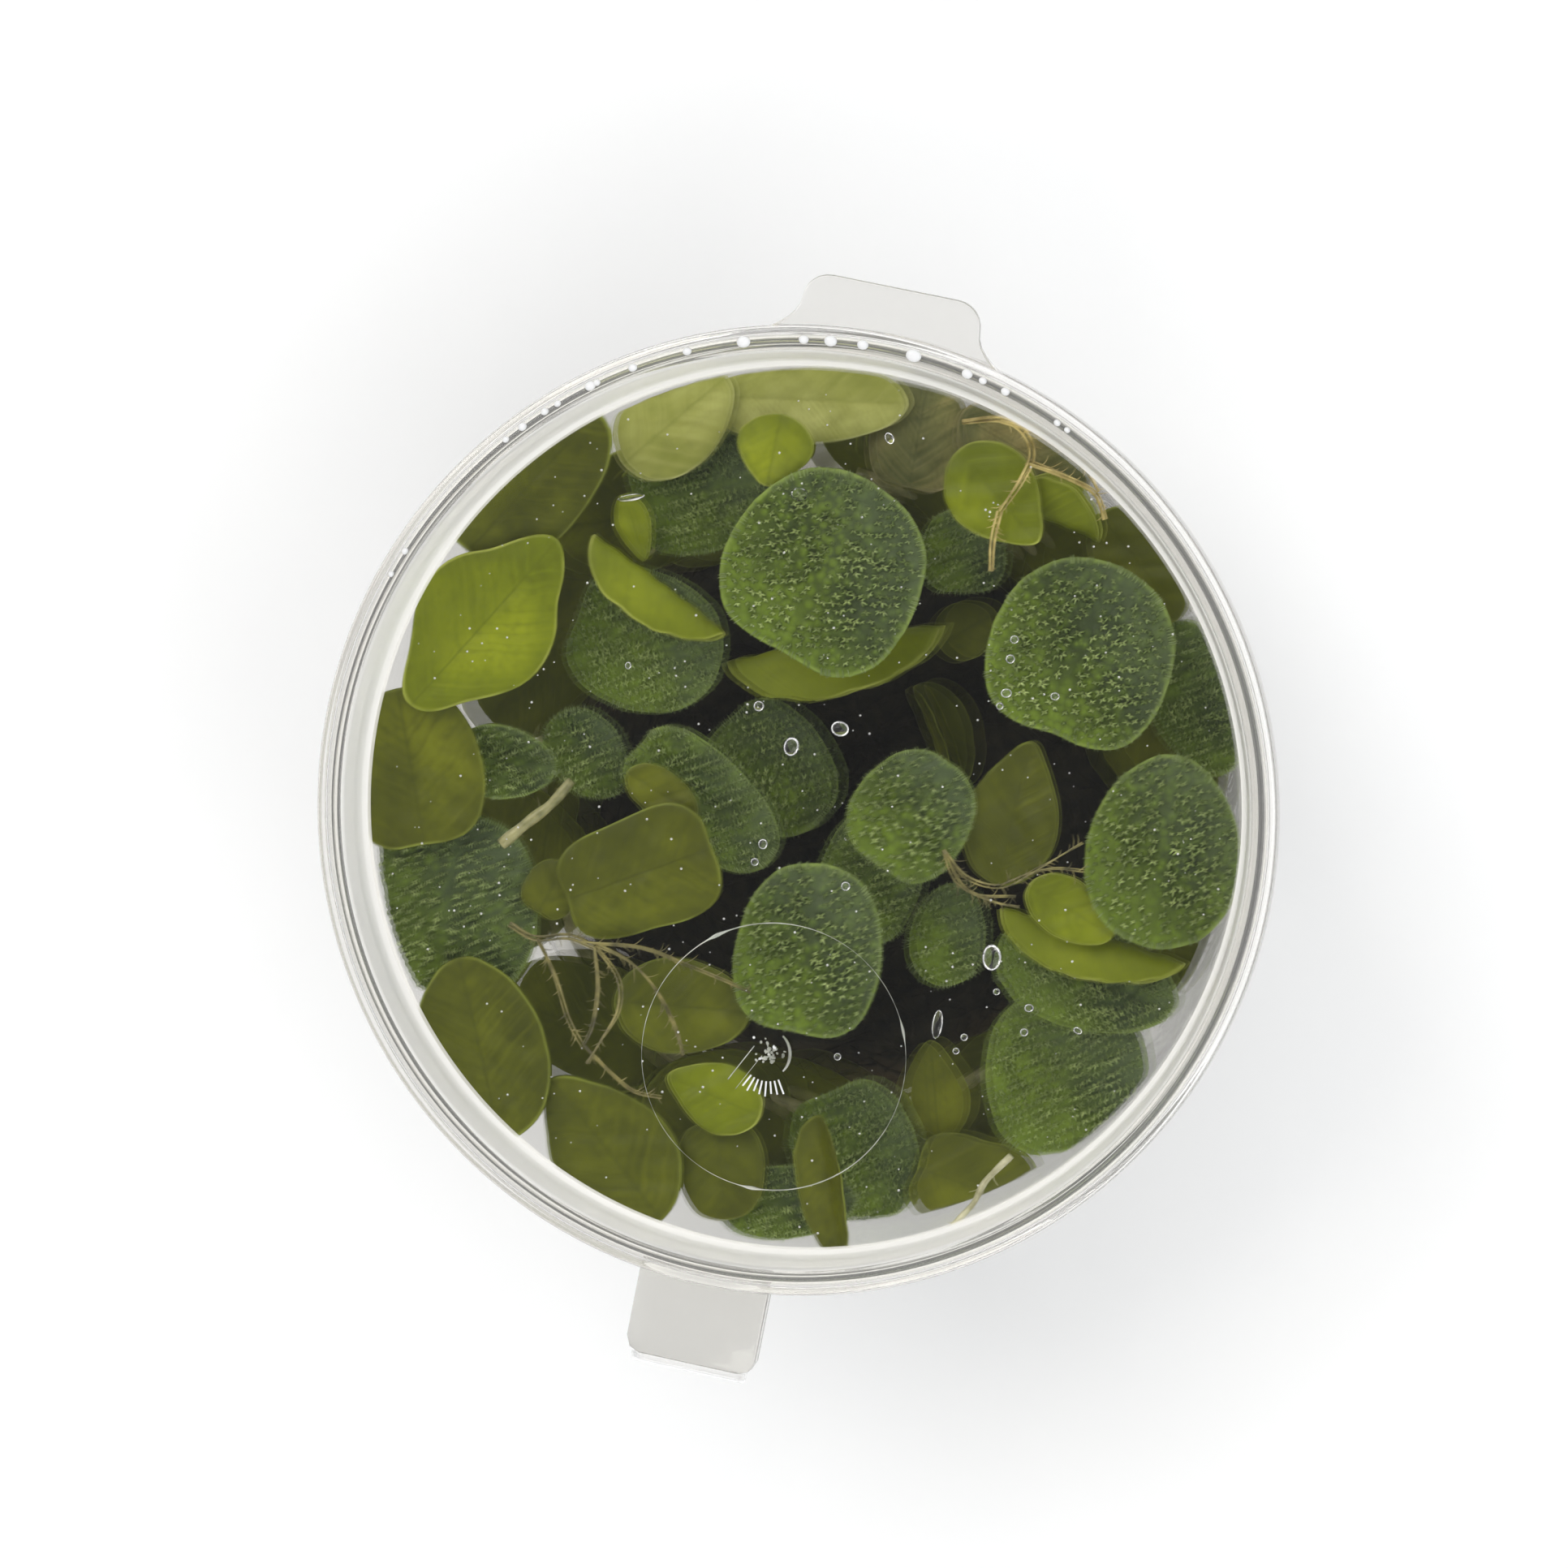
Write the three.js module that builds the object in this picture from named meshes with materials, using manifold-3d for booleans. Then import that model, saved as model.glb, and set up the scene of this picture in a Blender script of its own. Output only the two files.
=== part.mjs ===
// Clear hinged-lid pot packed with fronds of eared watermoss, a small floating fern.
// Millimetres, +Z up, the middle of the pot's flat base at the origin, the lid's hinge at -Y.
import * as THREE from 'three';
import { mergeVertices } from 'three/addons/utils/BufferGeometryUtils.js';
import Module from 'manifold-3d';

const wasm = await Module();
wasm.setup();

// Driving sizes of the pot and its lid
const ROUND_STEPS = 36;
const WALL = 0.5;
const GAP = 0.3;
const LID_RADIUS = 31.0;
const LID_TOP = 30.8;
const RECESS = 3.6;
const PANEL_THICK = 0.6;
const MOUTH_RADIUS = 29.7;
const SHELF_Z = 25.8;
const SHELF_RADIUS = 29.2;
const FLOOR_THICK = 0.9;
const BASE_RADIUS = 23.6;
const BASE_ROUND = 1.0;
const FLANGE_TOP = 28.45;
const FLANGE_THICK = 0.65;
const SKIRT_BOTTOM = 28.75;
const HINGE_Z = (FLANGE_TOP + SKIRT_BOTTOM) / 2;
const HINGE_Y = -36.4;
const STRAP_WIDTH = 8.5;
const STRAP_ROOT_Y = -30.5;
const TAB_REACH = 34.0;
const TAB_WIDTH = 11.6;
const TAB_ROOT_WIDTH = 17;
const TAB_CORNER = 1.7;
const TAB_THICK = 0.7;

// How the photograph looks at the pot: its scale at the rim, the lid's middle in it, its turn, its distance
// and its lean, with the directions that are right, up and backwards in it
const PHOTO_SCALE = 19.35;
const PHOTO_MIDDLE = [976.3, 1000.4];
const PHOTO_TURN = THREE.MathUtils.degToRad(11.2);
const PHOTO_DISTANCE = 600;
const PHOTO_LEAN = THREE.MathUtils.degToRad(10);
const LEAN_WAY = new THREE.Vector2(0.856, 0.518).normalize();
const RIM_MIDDLE = new THREE.Vector3(0, 0, LID_TOP);
const PHOTO_BACK = new THREE.Vector3(LEAN_WAY.x, LEAN_WAY.y, 1 / Math.tan(PHOTO_LEAN)).normalize();
const PLAN_UP = new THREE.Vector3(-Math.sin(PHOTO_TURN), Math.cos(PHOTO_TURN), 0);
const PHOTO_RIGHT = PLAN_UP.clone().cross(PHOTO_BACK).normalize();
const PHOTO_UP = PHOTO_BACK.clone().cross(PHOTO_RIGHT);
const VIEW_POINT = RIM_MIDDLE.clone().addScaledVector(PHOTO_BACK, PHOTO_DISTANCE);

// Sizes of the plant
const LEAF_THICK = 0.6;
const LEAF_SECTORS = 14;
const LEAF_RINGS = 4;
const FOLD_ROUND = 0.7;
const NOMINAL_LEAF_Z = 24;
const SETTLE_ROUNDS = 6;
const SETTLED_WITHIN = 0.02;
const ROOT_HALF_SIDES = 2;
const WALL_CLEARANCE = 0.25;

const plastic = new THREE.MeshStandardMaterial({
  color: 0xd9d8da, roughness: 0.15, metalness: 0, transparent: true, opacity: 0.35,
});
const leafFinish = {
  hairy: new THREE.MeshStandardMaterial({ color: 0x46682c, roughness: 0.75, metalness: 0 }),
  smooth: new THREE.MeshStandardMaterial({ color: 0x68781a, roughness: 0.45, metalness: 0 }),
  bright: new THREE.MeshStandardMaterial({ color: 0x8fa022, roughness: 0.4, metalness: 0 }),
  pale: new THREE.MeshStandardMaterial({ color: 0x9aa45c, roughness: 0.5, metalness: 0 }),
  brown: new THREE.MeshStandardMaterial({ color: 0x6f6238, roughness: 0.6, metalness: 0 }),
};
const tangleFinish = new THREE.MeshStandardMaterial({ color: 0x2c2614, roughness: 0.7, metalness: 0 });
const rootFinish = new THREE.MeshStandardMaterial({ color: 0x8d7f40, roughness: 0.6, metalness: 0 });

// A closed solid from a three.js geometry, with its shared vertices merged and no empty triangles
function solidOf(geometry) {
  const bare = geometry.clone();
  bare.deleteAttribute('normal');
  bare.deleteAttribute('uv');
  const merged = mergeVertices(bare, 1e-4);
  const kept = [];
  const index = merged.index.array;
  for (let i = 0; i < index.length; i += 3) {
    const [a, b, c] = [index[i], index[i + 1], index[i + 2]];
    if (a !== b && b !== c && c !== a) kept.push(a, b, c);
  }
  const mesh = new wasm.Mesh({
    numProp: 3,
    vertProperties: new Float32Array(merged.attributes.position.array),
    triVerts: new Uint32Array(kept),
  });
  return new wasm.Manifold(mesh);
}

function geometryOf(solid) {
  const mesh = solid.getMesh();
  const geometry = new THREE.BufferGeometry();
  geometry.setAttribute('position', new THREE.BufferAttribute(new Float32Array(mesh.vertProperties), 3));
  geometry.setIndex(Array.from(mesh.triVerts));
  geometry.computeVertexNormals();
  return geometry;
}

function joined(geometries) {
  return geometryOf(geometries.map(solidOf).reduce((whole, next) => whole.add(next)));
}

// A turned body about the Z axis from a list of [radius, height] points, from the top inwards
function turned(points) {
  const profile = points.map(([radius, height]) => new THREE.Vector2(radius, height));
  return new THREE.LatheGeometry(profile, ROUND_STEPS).rotateX(Math.PI / 2);
}

function slab(shape, bottom, thick) {
  const geometry = new THREE.ExtrudeGeometry(shape, { depth: thick, bevelEnabled: false, curveSegments: 4 });
  return geometry.translate(0, 0, bottom);
}

// The hinge strap, one leaf of it on the pot and one on the lid, ending at the fold
function strap(bottom) {
  const half = STRAP_WIDTH / 2;
  const shape = new THREE.Shape();
  shape.moveTo(-half, STRAP_ROOT_Y);
  shape.lineTo(-half, HINGE_Y + GAP / 3);
  shape.lineTo(half, HINGE_Y + GAP / 3);
  shape.lineTo(half, STRAP_ROOT_Y);
  shape.closePath();
  return slab(shape, bottom, FLANGE_THICK);
}

// The opening tab, with rounded outer corners and wide fillets where it leaves the rim
function openingTab() {
  const half = TAB_WIDTH / 2;
  const rootHalf = TAB_ROOT_WIDTH / 2;
  const rootRadius = LID_RADIUS - WALL / 2;
  const rootAngle = Math.asin(rootHalf / rootRadius);
  const rootY = rootRadius * Math.cos(rootAngle);
  const shape = new THREE.Shape();
  shape.moveTo(-rootHalf, rootY);
  shape.quadraticCurveTo(-half, LID_RADIUS - 0.2, -half, TAB_REACH - TAB_CORNER);
  shape.absarc(-half + TAB_CORNER, TAB_REACH - TAB_CORNER, TAB_CORNER, Math.PI, Math.PI / 2, true);
  shape.absarc(half - TAB_CORNER, TAB_REACH - TAB_CORNER, TAB_CORNER, Math.PI / 2, 0, true);
  shape.quadraticCurveTo(half, LID_RADIUS - 0.2, rootHalf, rootY);
  shape.absarc(0, 0, rootRadius, Math.PI / 2 - rootAngle, Math.PI / 2 + rootAngle, false);
  return slab(shape, LID_TOP - 0.2 - TAB_THICK, TAB_THICK);
}

function potGeometry() {
  const outerShelf = SHELF_RADIUS + WALL;
  const outerMouth = MOUTH_RADIUS + WALL;
  const flangeRadius = LID_RADIUS - 0.15;
  const rimTop = LID_TOP - WALL - GAP;
  const cup = turned([
    [0, 0],
    [BASE_RADIUS - BASE_ROUND, 0],
    [BASE_RADIUS - 0.2, 0.35],
    [BASE_RADIUS + 0.1, BASE_ROUND],
    [outerShelf, SHELF_Z - 0.9],
    [outerMouth, SHELF_Z - 0.3],
    [outerMouth, FLANGE_TOP - FLANGE_THICK],
    [flangeRadius, FLANGE_TOP - FLANGE_THICK],
    [flangeRadius, FLANGE_TOP],
    [outerMouth, FLANGE_TOP],
    [outerMouth, rimTop],
    [MOUTH_RADIUS, rimTop],
    [MOUTH_RADIUS, SHELF_Z + 0.2],
    [SHELF_RADIUS, SHELF_Z - 0.4],
    [BASE_RADIUS - 0.45, FLOOR_THICK + 0.7],
    [BASE_RADIUS - 1.3, FLOOR_THICK],
    [0, FLOOR_THICK],
  ]);
  return joined([cup, strap(FLANGE_TOP - FLANGE_THICK)]);
}

function lidGeometry() {
  const plugOuter = MOUTH_RADIUS - GAP;
  const skirtInner = LID_RADIUS - WALL;
  const panelTop = LID_TOP - RECESS;
  const underRim = LID_TOP - WALL;
  const cap = turned([
    [0, panelTop - PANEL_THICK],
    [plugOuter - 0.7, panelTop - PANEL_THICK],
    [plugOuter - 0.3, panelTop - PANEL_THICK + 0.3],
    [plugOuter, underRim],
    [skirtInner, underRim],
    [skirtInner, SKIRT_BOTTOM],
    [LID_RADIUS, SKIRT_BOTTOM],
    [LID_RADIUS, LID_TOP - 0.5],
    [LID_RADIUS - 0.5, LID_TOP],
    [plugOuter, LID_TOP],
    [plugOuter - 0.25, LID_TOP - 0.25],
    [plugOuter - 0.75, panelTop + 0.3],
    [plugOuter - 1.05, panelTop],
    [0, panelTop],
  ]);
  return joined([cap, strap(SKIRT_BOTTOM), openingTab()]);
}

// A place in the plan from a pixel of the photograph, for a point at height z
function planFromPhoto(x, y, z) {
  const through = RIM_MIDDLE.clone()
    .addScaledVector(PHOTO_RIGHT, (x - PHOTO_MIDDLE[0]) / PHOTO_SCALE)
    .addScaledVector(PHOTO_UP, (PHOTO_MIDDLE[1] - y) / PHOTO_SCALE);
  const share = (z - VIEW_POINT.z) / (through.z - VIEW_POINT.z);
  return VIEW_POINT.clone().lerp(through, share);
}

function potRadiusAt(z) {
  const share = (z - FLOOR_THICK - 0.7) / (SHELF_Z - 0.4 - FLOOR_THICK - 0.7);
  return THREE.MathUtils.lerp(BASE_RADIUS - 0.45, SHELF_RADIUS, THREE.MathUtils.clamp(share, 0, 1));
}

// Leaf outlines: how square they are, how much wider the base half is, and how deep the base notch is
const OUTLINE = {
  round: { square: 0.1, egg: 0.05, notch: 0.12 },
  oval: { square: 0, egg: 0.12, notch: 0 },
  pointed: { square: -0.12, egg: 0.3, notch: 0 },
  fan: { square: 0.35, egg: -0.1, notch: 0.05 },
  kite: { square: -0.35, egg: 0, notch: 0 },
};

// A point of a leaf's middle surface, from its flat outline to its folded, bowed and cupped form
function leafSurface(leaf, along, across) {
  const fold = THREE.MathUtils.degToRad(leaf.fold ?? 0);
  const arc = FOLD_ROUND * fold;
  const reach = Math.abs(across);
  let side = reach;
  let rise = 0;
  if (fold > 0) {
    const turn = Math.min(reach, arc) / FOLD_ROUND;
    const rest = Math.max(reach - arc, 0);
    side = FOLD_ROUND * Math.sin(turn) + rest * Math.cos(fold);
    rise = FOLD_ROUND * (1 - Math.cos(turn)) + rest * Math.sin(fold);
  }
  const lengthwise = (2 * along) / leaf.long;
  const crosswise = (2 * across) / leaf.wide;
  rise += (leaf.bow ?? 0) * lengthwise ** 2 + (leaf.cup ?? 0) * (lengthwise ** 2 + crosswise ** 2);
  return new THREE.Vector3(along, side * Math.sign(across), rise);
}

function leafOutline(leaf, angle) {
  const { square, egg, notch } = OUTLINE[leaf.outline ?? 'oval'];
  const bulge = 1 + square * Math.sin(2 * angle) ** 2 * 0.5;
  const dent = 1 - notch * Math.max(0, -Math.cos(angle)) ** 8;
  const along = (leaf.long / 2) * Math.cos(angle) * bulge * dent;
  const across = (leaf.wide / 2) * Math.sin(angle) * bulge * (1 - egg * Math.cos(angle));
  return [along, across];
}

// A leaf is a ball pressed flat to its outline, thickest in the middle, then folded and tilted
function leafGeometry(leaf, sectors = LEAF_SECTORS, rings = LEAF_RINGS) {
  const geometry = new THREE.SphereGeometry(1, sectors, rings);
  const point = geometry.attributes.position;
  const step = 0.05;
  for (let i = 0; i < point.count; i += 1) {
    const [x, y, z] = [point.getX(i), point.getY(i), point.getZ(i)];
    const spread = Math.hypot(x, z);
    const [edgeAlong, edgeAcross] = leafOutline(leaf, Math.atan2(-z, x));
    const along = edgeAlong * spread;
    const across = edgeAcross * spread;
    const middle = leafSurface(leaf, along, across);
    const lengthwise = leafSurface(leaf, along + step, across).sub(leafSurface(leaf, along - step, across));
    const crosswise = leafSurface(leaf, along, across + step).sub(leafSurface(leaf, along, across - step));
    const normal = lengthwise.cross(crosswise).normalize();
    middle.addScaledVector(normal, (y * LEAF_THICK) / 2);
    point.setXYZ(i, middle.x, middle.y, middle.z);
  }
  geometry.rotateX(THREE.MathUtils.degToRad(leaf.roll ?? 0));
  geometry.rotateY(THREE.MathUtils.degToRad(-(leaf.pitch ?? 0)));
  geometry.rotateZ(THREE.MathUtils.degToRad(leaf.aim) + PHOTO_TURN);
  return geometry;
}

function pressedInsidePot(geometry) {
  const pressed = geometry.clone();
  const point = pressed.attributes.position;
  for (let i = 0; i < point.count; i += 1) {
    const room = potRadiusAt(point.getZ(i)) - WALL_CLEARANCE;
    const radius = Math.hypot(point.getX(i), point.getY(i));
    const shrink = Math.min(1, room / radius);
    point.setXY(i, point.getX(i) * shrink, point.getY(i) * shrink);
  }
  return pressed;
}

// The space still free under the lid: one height for each small square of the plan, lowered as pieces go in
const CELL = 0.5;
const CELLS = 120;
const roof = new Float64Array(CELLS * CELLS).fill(LID_TOP - RECESS - PANEL_THICK);

function cellOf(x, y) {
  const column = Math.floor(x / CELL) + CELLS / 2;
  const row = Math.floor(y / CELL) + CELLS / 2;
  return row * CELLS + column;
}

// Highest and lowest points of a piece over each square that it covers, with one square of margin
function heightsOf(geometry) {
  const point = geometry.attributes.position;
  const index = geometry.index.array;
  const heights = new Map();
  const [a, b, c, p] = [0, 1, 2, 3].map(() => new THREE.Vector3());
  for (let i = 0; i < index.length; i += 3) {
    a.fromBufferAttribute(point, index[i]);
    b.fromBufferAttribute(point, index[i + 1]);
    c.fromBufferAttribute(point, index[i + 2]);
    const steps = Math.max(1, Math.ceil(Math.max(a.distanceTo(b), a.distanceTo(c), b.distanceTo(c)) / CELL));
    for (let j = 0; j <= steps; j += 1) {
      for (let k = 0; k <= steps - j; k += 1) {
        p.copy(a).addScaledVector(b.clone().sub(a), j / steps).addScaledVector(c.clone().sub(a), k / steps);
        const middle = cellOf(p.x, p.y);
        for (const row of [-CELLS, 0, CELLS]) {
          for (const column of [-1, 0, 1]) {
            const cell = middle + row + column;
            const span = heights.get(cell) ?? [p.z, p.z];
            heights.set(cell, [Math.min(span[0], p.z), Math.max(span[1], p.z)]);
          }
        }
      }
    }
  }
  return heights;
}

function riseUnderRoof(heights) {
  let rise = Infinity;
  for (const [cell, span] of heights) rise = Math.min(rise, roof[cell] - GAP - span[1]);
  return rise;
}

// Raises a piece to just under what is already in place, and takes its room from the free space.
// A piece moves in the plan with its height, so that it stays where the photograph shows it.
function settled(shapeAtHeight) {
  let height = NOMINAL_LEAF_Z;
  let placed;
  let heights;
  for (let round = 0; round < SETTLE_ROUNDS; round += 1) {
    placed = pressedInsidePot(shapeAtHeight(height));
    heights = heightsOf(placed);
    const rise = riseUnderRoof(heights);
    if (Math.abs(rise) < SETTLED_WITHIN) break;
    height += rise;
  }
  placed.translate(0, 0, Math.min(0, riseUnderRoof(heights)));
  for (const [cell, span] of heightsOf(placed)) roof[cell] = Math.min(roof[cell], span[0]);
  return placed;
}

const watermoss = new THREE.Group();

function addPiece(name, geometry, material) {
  const mesh = new THREE.Mesh(geometry, material);
  mesh.name = name;
  watermoss.add(mesh);
}

// Roots and stems: each strand is a list of photograph pixels that it runs through, with its radius
const STRANDS = {
  roots_left: [
    { radius: 0.3, through: [[628, 1138], [660, 1156], [700, 1154], [735, 1168]] },
    { radius: 0.24, through: [[662, 1156], [684, 1205], [700, 1255], [720, 1292]] },
    { radius: 0.22, through: [[733, 1166], [737, 1215], [730, 1262], [718, 1288]] },
    { radius: 0.22, through: [[736, 1167], [762, 1205], [762, 1245], [738, 1285], [722, 1310]] },
    { radius: 0.22, through: [[735, 1164], [775, 1185], [808, 1220], [832, 1265], [843, 1300]] },
    { radius: 0.2, through: [[716, 1160], [790, 1168], [850, 1190], [925, 1222]] },
    { radius: 0.2, through: [[719, 1288], [756, 1325], [782, 1345], [815, 1352]] },
  ],
  roots_right: [
    { radius: 0.22, through: [[1163, 1047], [1180, 1088], [1225, 1112], [1256, 1118]] },
    { radius: 0.22, through: [[1163, 1047], [1190, 1080], [1232, 1092], [1275, 1072], [1334, 1038]] },
    { radius: 0.2, through: [[1163, 1047], [1196, 1098], [1252, 1105]] },
    { radius: 0.22, through: [[1234, 1092], [1268, 1078], [1300, 1071], [1336, 1074]] },
  ],
  roots_top: [
    { radius: 0.22, through: [[1186, 518], [1234, 516], [1262, 532], [1272, 560], [1258, 592], [1232, 630]] },
    { radius: 0.2, through: [[1232, 630], [1224, 665], [1222, 704]] },
    { radius: 0.2, through: [[1268, 570], [1316, 588], [1350, 608], [1362, 640]] },
    { radius: 0.2, through: [[1234, 517], [1290, 536], [1332, 568], [1352, 607]] },
  ],
  stem_left: [{ radius: 0.42, through: [[618, 1040], [652, 1012], [680, 990], [704, 962]] }],
  stem_bottom: [{ radius: 0.24, through: [[1246, 1424], [1214, 1456], [1200, 1482], [1172, 1512]] }],
};
const ROOT_STEP = 2.3;

function strandAlong(points, radius, step) {
  const path = new THREE.CatmullRomCurve3(points);
  const section = new THREE.Shape();
  section.absarc(0, 0, radius, 0, 2 * Math.PI);
  return new THREE.ExtrudeGeometry(section, {
    extrudePath: path,
    steps: Math.ceil(path.getLength() / step),
    curveSegments: ROOT_HALF_SIDES,
    bevelEnabled: false,
  });
}

function strandGeometry({ radius, through }, height) {
  const points = through.map(([x, y]) => {
    const place = planFromPhoto(x, y, height);
    return new THREE.Vector3(place.x, place.y, height);
  });
  return strandAlong(points, radius, ROOT_STEP);
}

// A leaf: its middle in photograph pixels, its length and width in millimetres, and the way that its tip
// points in degrees from the photograph's right. The form holds its fold, roll, pitch, bow and cup.
function leaf(name, finish, outline, [x, y], [long, wide], aim, form = {}) {
  return { name: `leaf_${name}`, finish, outline, x, y, long, wide, aim, ...form };
}

// The leaves that show through the lid, the topmost first
const LEAVES = [
  leaf('left_bright', 'bright', 'kite', [597, 768], [14.6, 9.4], 48, { bow: 0.3 }),
  leaf('left_wall_olive', 'smooth', 'oval', [592, 1294], [12.4, 8.8], 103, { bow: 0.2 }),
  leaf('rim_dark', 'smooth', 'round', [652, 598], [13.4, 7.6], 47, { bow: 0.2 }),
  leaf('left_wall_smooth', 'smooth', 'round', [508, 950], [11.0, 9.4], 100, { bow: 0.2 }),
  leaf('centre_cupped', 'hairy', 'round', [1016, 705], [13.2, 12.9], 60, { cup: 0.35 }),
  leaf('upper_right_round', 'hairy', 'round', [1331, 807], [12.4, 12.0], 70, { cup: -0.3 }),
  leaf('right_oval', 'hairy', 'oval', [1433, 1050], [12.6, 10.1], 84, { cup: -0.3 }),
  leaf('middle_tall', 'hairy', 'round', [995, 1175], [11.8, 9.6], 80, { cup: -0.3 }),
  leaf('centre_round', 'hairy', 'round', [1122, 1006], [8.7, 7.8], 55, { cup: -0.25 }),
  leaf('lower_left_large', 'smooth', 'pointed', [748, 1416], [11.8, 8.0], 129, { bow: 0.3 }),
  leaf('left_olive', 'smooth', 'fan', [787, 1077], [10.4, 7.4], 20, { bow: 0.3 }),
  leaf('upper_left_narrow', 'bright', 'oval', [813, 720], [10.8, 6.4], -36, { fold: 80, roll: 84 }),
  leaf('upper_left_strip', 'bright', 'pointed', [782, 650], [4.6, 2.3], -72),
  leaf('top_kite', 'bright', 'pointed', [954, 555], [4.8, 4.9], -100, { pitch: 10 }),
  leaf('upper_right_kite', 'bright', 'pointed', [1229, 612], [8.0, 5.8], -47, { pitch: 6 }),
  leaf('upper_right_fold', 'bright', 'oval', [1299, 640], [6.6, 6.2], -25, { fold: 80, roll: -84 }),
  leaf('right_small_bright', 'bright', 'oval', [1320, 1122], [6.4, 3.9], -30, { bow: 0.2 }),
  leaf('right_crescent', 'bright', 'oval', [1347, 1153], [12.6, 6.6], -16, { fold: 80, roll: 84 }),
  leaf('lower_bright', 'bright', 'pointed', [880, 1350], [6.8, 4.5], 158, { pitch: -6 }),
  leaf('right_rim_olive', 'smooth', 'oval', [1405, 697], [8.6, 5.4], -52),
  leaf('top_left_pale', 'pale', 'oval', [832, 518], [9.0, 6.4], 40),
  leaf('top_rim_pale', 'pale', 'oval', [992, 492], [13.6, 5.8], -2, { bow: -0.3 }),
  leaf('upper_right_brown', 'brown', 'oval', [1262, 558], [9.6, 5.8], -30),
  leaf('top_decayed', 'brown', 'round', [1132, 536], [8.0, 6.4], 80, { cup: -0.2 }),
  leaf('right_midrib', 'smooth', 'pointed', [1250, 1002], [9.6, 6.2], 76, { fold: 10 }),
  leaf('left_under', 'smooth', 'oval', [816, 978], [5.4, 3.0], -32),
  leaf('left_two_lobed', 'hairy', 'round', [864, 986], [12.2, 6.6], -41, { fold: 22, roll: -12 }),
  leaf('left_cup', 'hairy', 'oval', [623, 938], [6.8, 5.6], -8, { fold: 35 }),
  leaf('left_grey', 'hairy', 'oval', [722, 930], [6.6, 5.0], -50, { cup: -0.3 }),
  leaf('left_dark_round', 'hairy', 'round', [792, 790], [10.6, 9.2], -20, { cup: -0.4 }),
  leaf('centre_crescent', 'bright', 'oval', [1030, 792], [14.6, 7.8], 10, { fold: 78, roll: 88 }),
  leaf('left_lower_olive', 'smooth', 'oval', [842, 1240], [9.0, 6.2], -4, { bow: 0.3 }),
  leaf('right_dark_crescent', 'hairy', 'oval', [1338, 1204], [12.4, 7.0], -17, { bow: -0.4 }),
  leaf('lower_right_round', 'hairy', 'round', [1314, 1324], [11.6, 10.8], 95, { cup: -0.4 }),
  leaf('bottom_right_olive', 'smooth', 'fan', [1198, 1462], [8.0, 6.4], -18),
  leaf('lower_smooth', 'smooth', 'round', [889, 1440], [6.8, 5.8], -86),
  leaf('bottom_long_fold', 'smooth', 'oval', [1022, 1464], [9.6, 4.2], -80, { fold: 40, roll: 20 }),
  leaf('bottom_dark', 'hairy', 'oval', [968, 1482], [9.4, 4.8], 4, { bow: -0.3 }),
  leaf('lower_hairy', 'hairy', 'round', [1054, 1420], [9.8, 8.2], -66, { cup: -0.4 }),
  leaf('lower_tip', 'smooth', 'pointed', [1152, 1345], [6.8, 4.5], 95),
  leaf('centre_small_dark', 'hairy', 'oval', [1168, 1152], [6.8, 5.0], 80, { cup: -0.2 }),
  leaf('centre_fold', 'smooth', 'oval', [1155, 908], [7.4, 5.2], -68, { fold: 66, roll: -50 }),
  leaf('top_hairy', 'hairy', 'round', [864, 604], [10.4, 8.2], 12, { cup: -0.3 }),
  leaf('left_small_dark', 'smooth', 'round', [679, 1096], [4.0, 3.6], 60),
  leaf('left_wall_hairy', 'hairy', 'round', [550, 1118], [12.8, 12.2], 80, { cup: -0.3 }),
  leaf('upper_dark_hairy', 'hairy', 'round', [1186, 681], [5.8, 5.6], 90, { cup: -0.3 }),
  leaf('upper_khaki', 'smooth', 'oval', [1192, 775], [4.4, 3.8], 30),
  leaf('right_wall_hairy', 'hairy', 'oval', [1474, 860], [10.6, 6.4], -70, { bow: -0.4 }),
  leaf('centre_behind', 'hairy', 'round', [1072, 1080], [9.6, 6.8], 70, { cup: -0.3 }),
  leaf('centre_dark_lobe', 'hairy', 'round', [950, 946], [9.6, 7.6], -48, { cup: -0.4 }),
];

// The fronds lower down in the pot: a stem with two branches along the wall, whose leaves lean out towards it
const LOWER_FRONDS = 2;
const LOWER_SECTORS = 8;
const LOWER_RINGS = 3;
const BRANCH_LEAVES = 5;
const FIRST_LEAF_SHARE = 0.22;
const LAST_LEAF_SHARE = 0.95;
const BRANCH_SPREAD = THREE.MathUtils.degToRad(78);
const BRANCH_LEAN = THREE.MathUtils.degToRad(50);
const BRANCH_FOOT = 9.4;
const BRANCH_TOP = 12.6;
const FROND_FROM_WALL = 4.8;
const FROND_TURN = THREE.MathUtils.degToRad(20);
const STEM_RADIUS = 0.5;
const STEM_STEP = 5;

// A steady spread of values between -1 and 1, so that no two leaves are alike
function varied(seed) {
  const wave = Math.sin(seed * 12.9898 + 4.1) * 43758.5453;
  return 2 * (wave - Math.floor(wave)) - 1;
}

// A point of a frond's stem: share runs from -1 at the top of one branch, by 0 at the foot, to 1
function stemPoint(frond, share) {
  const height = THREE.MathUtils.lerp(BRANCH_FOOT, BRANCH_TOP, Math.abs(share) ** 1.4);
  const azimuth = FROND_TURN + (frond / LOWER_FRONDS) * 2 * Math.PI + share * BRANCH_SPREAD;
  return { azimuth, height, radius: potRadiusAt(height) - FROND_FROM_WALL };
}

function frondStem(frond) {
  const shares = [-1, -0.6, -0.2, 0.2, 0.6, 1];
  const points = shares.map((share) => {
    const { azimuth, height, radius } = stemPoint(frond, share);
    return new THREE.Vector3(radius * Math.cos(azimuth), radius * Math.sin(azimuth), height);
  });
  return strandAlong(points, STEM_RADIUS, STEM_STEP);
}

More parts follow.
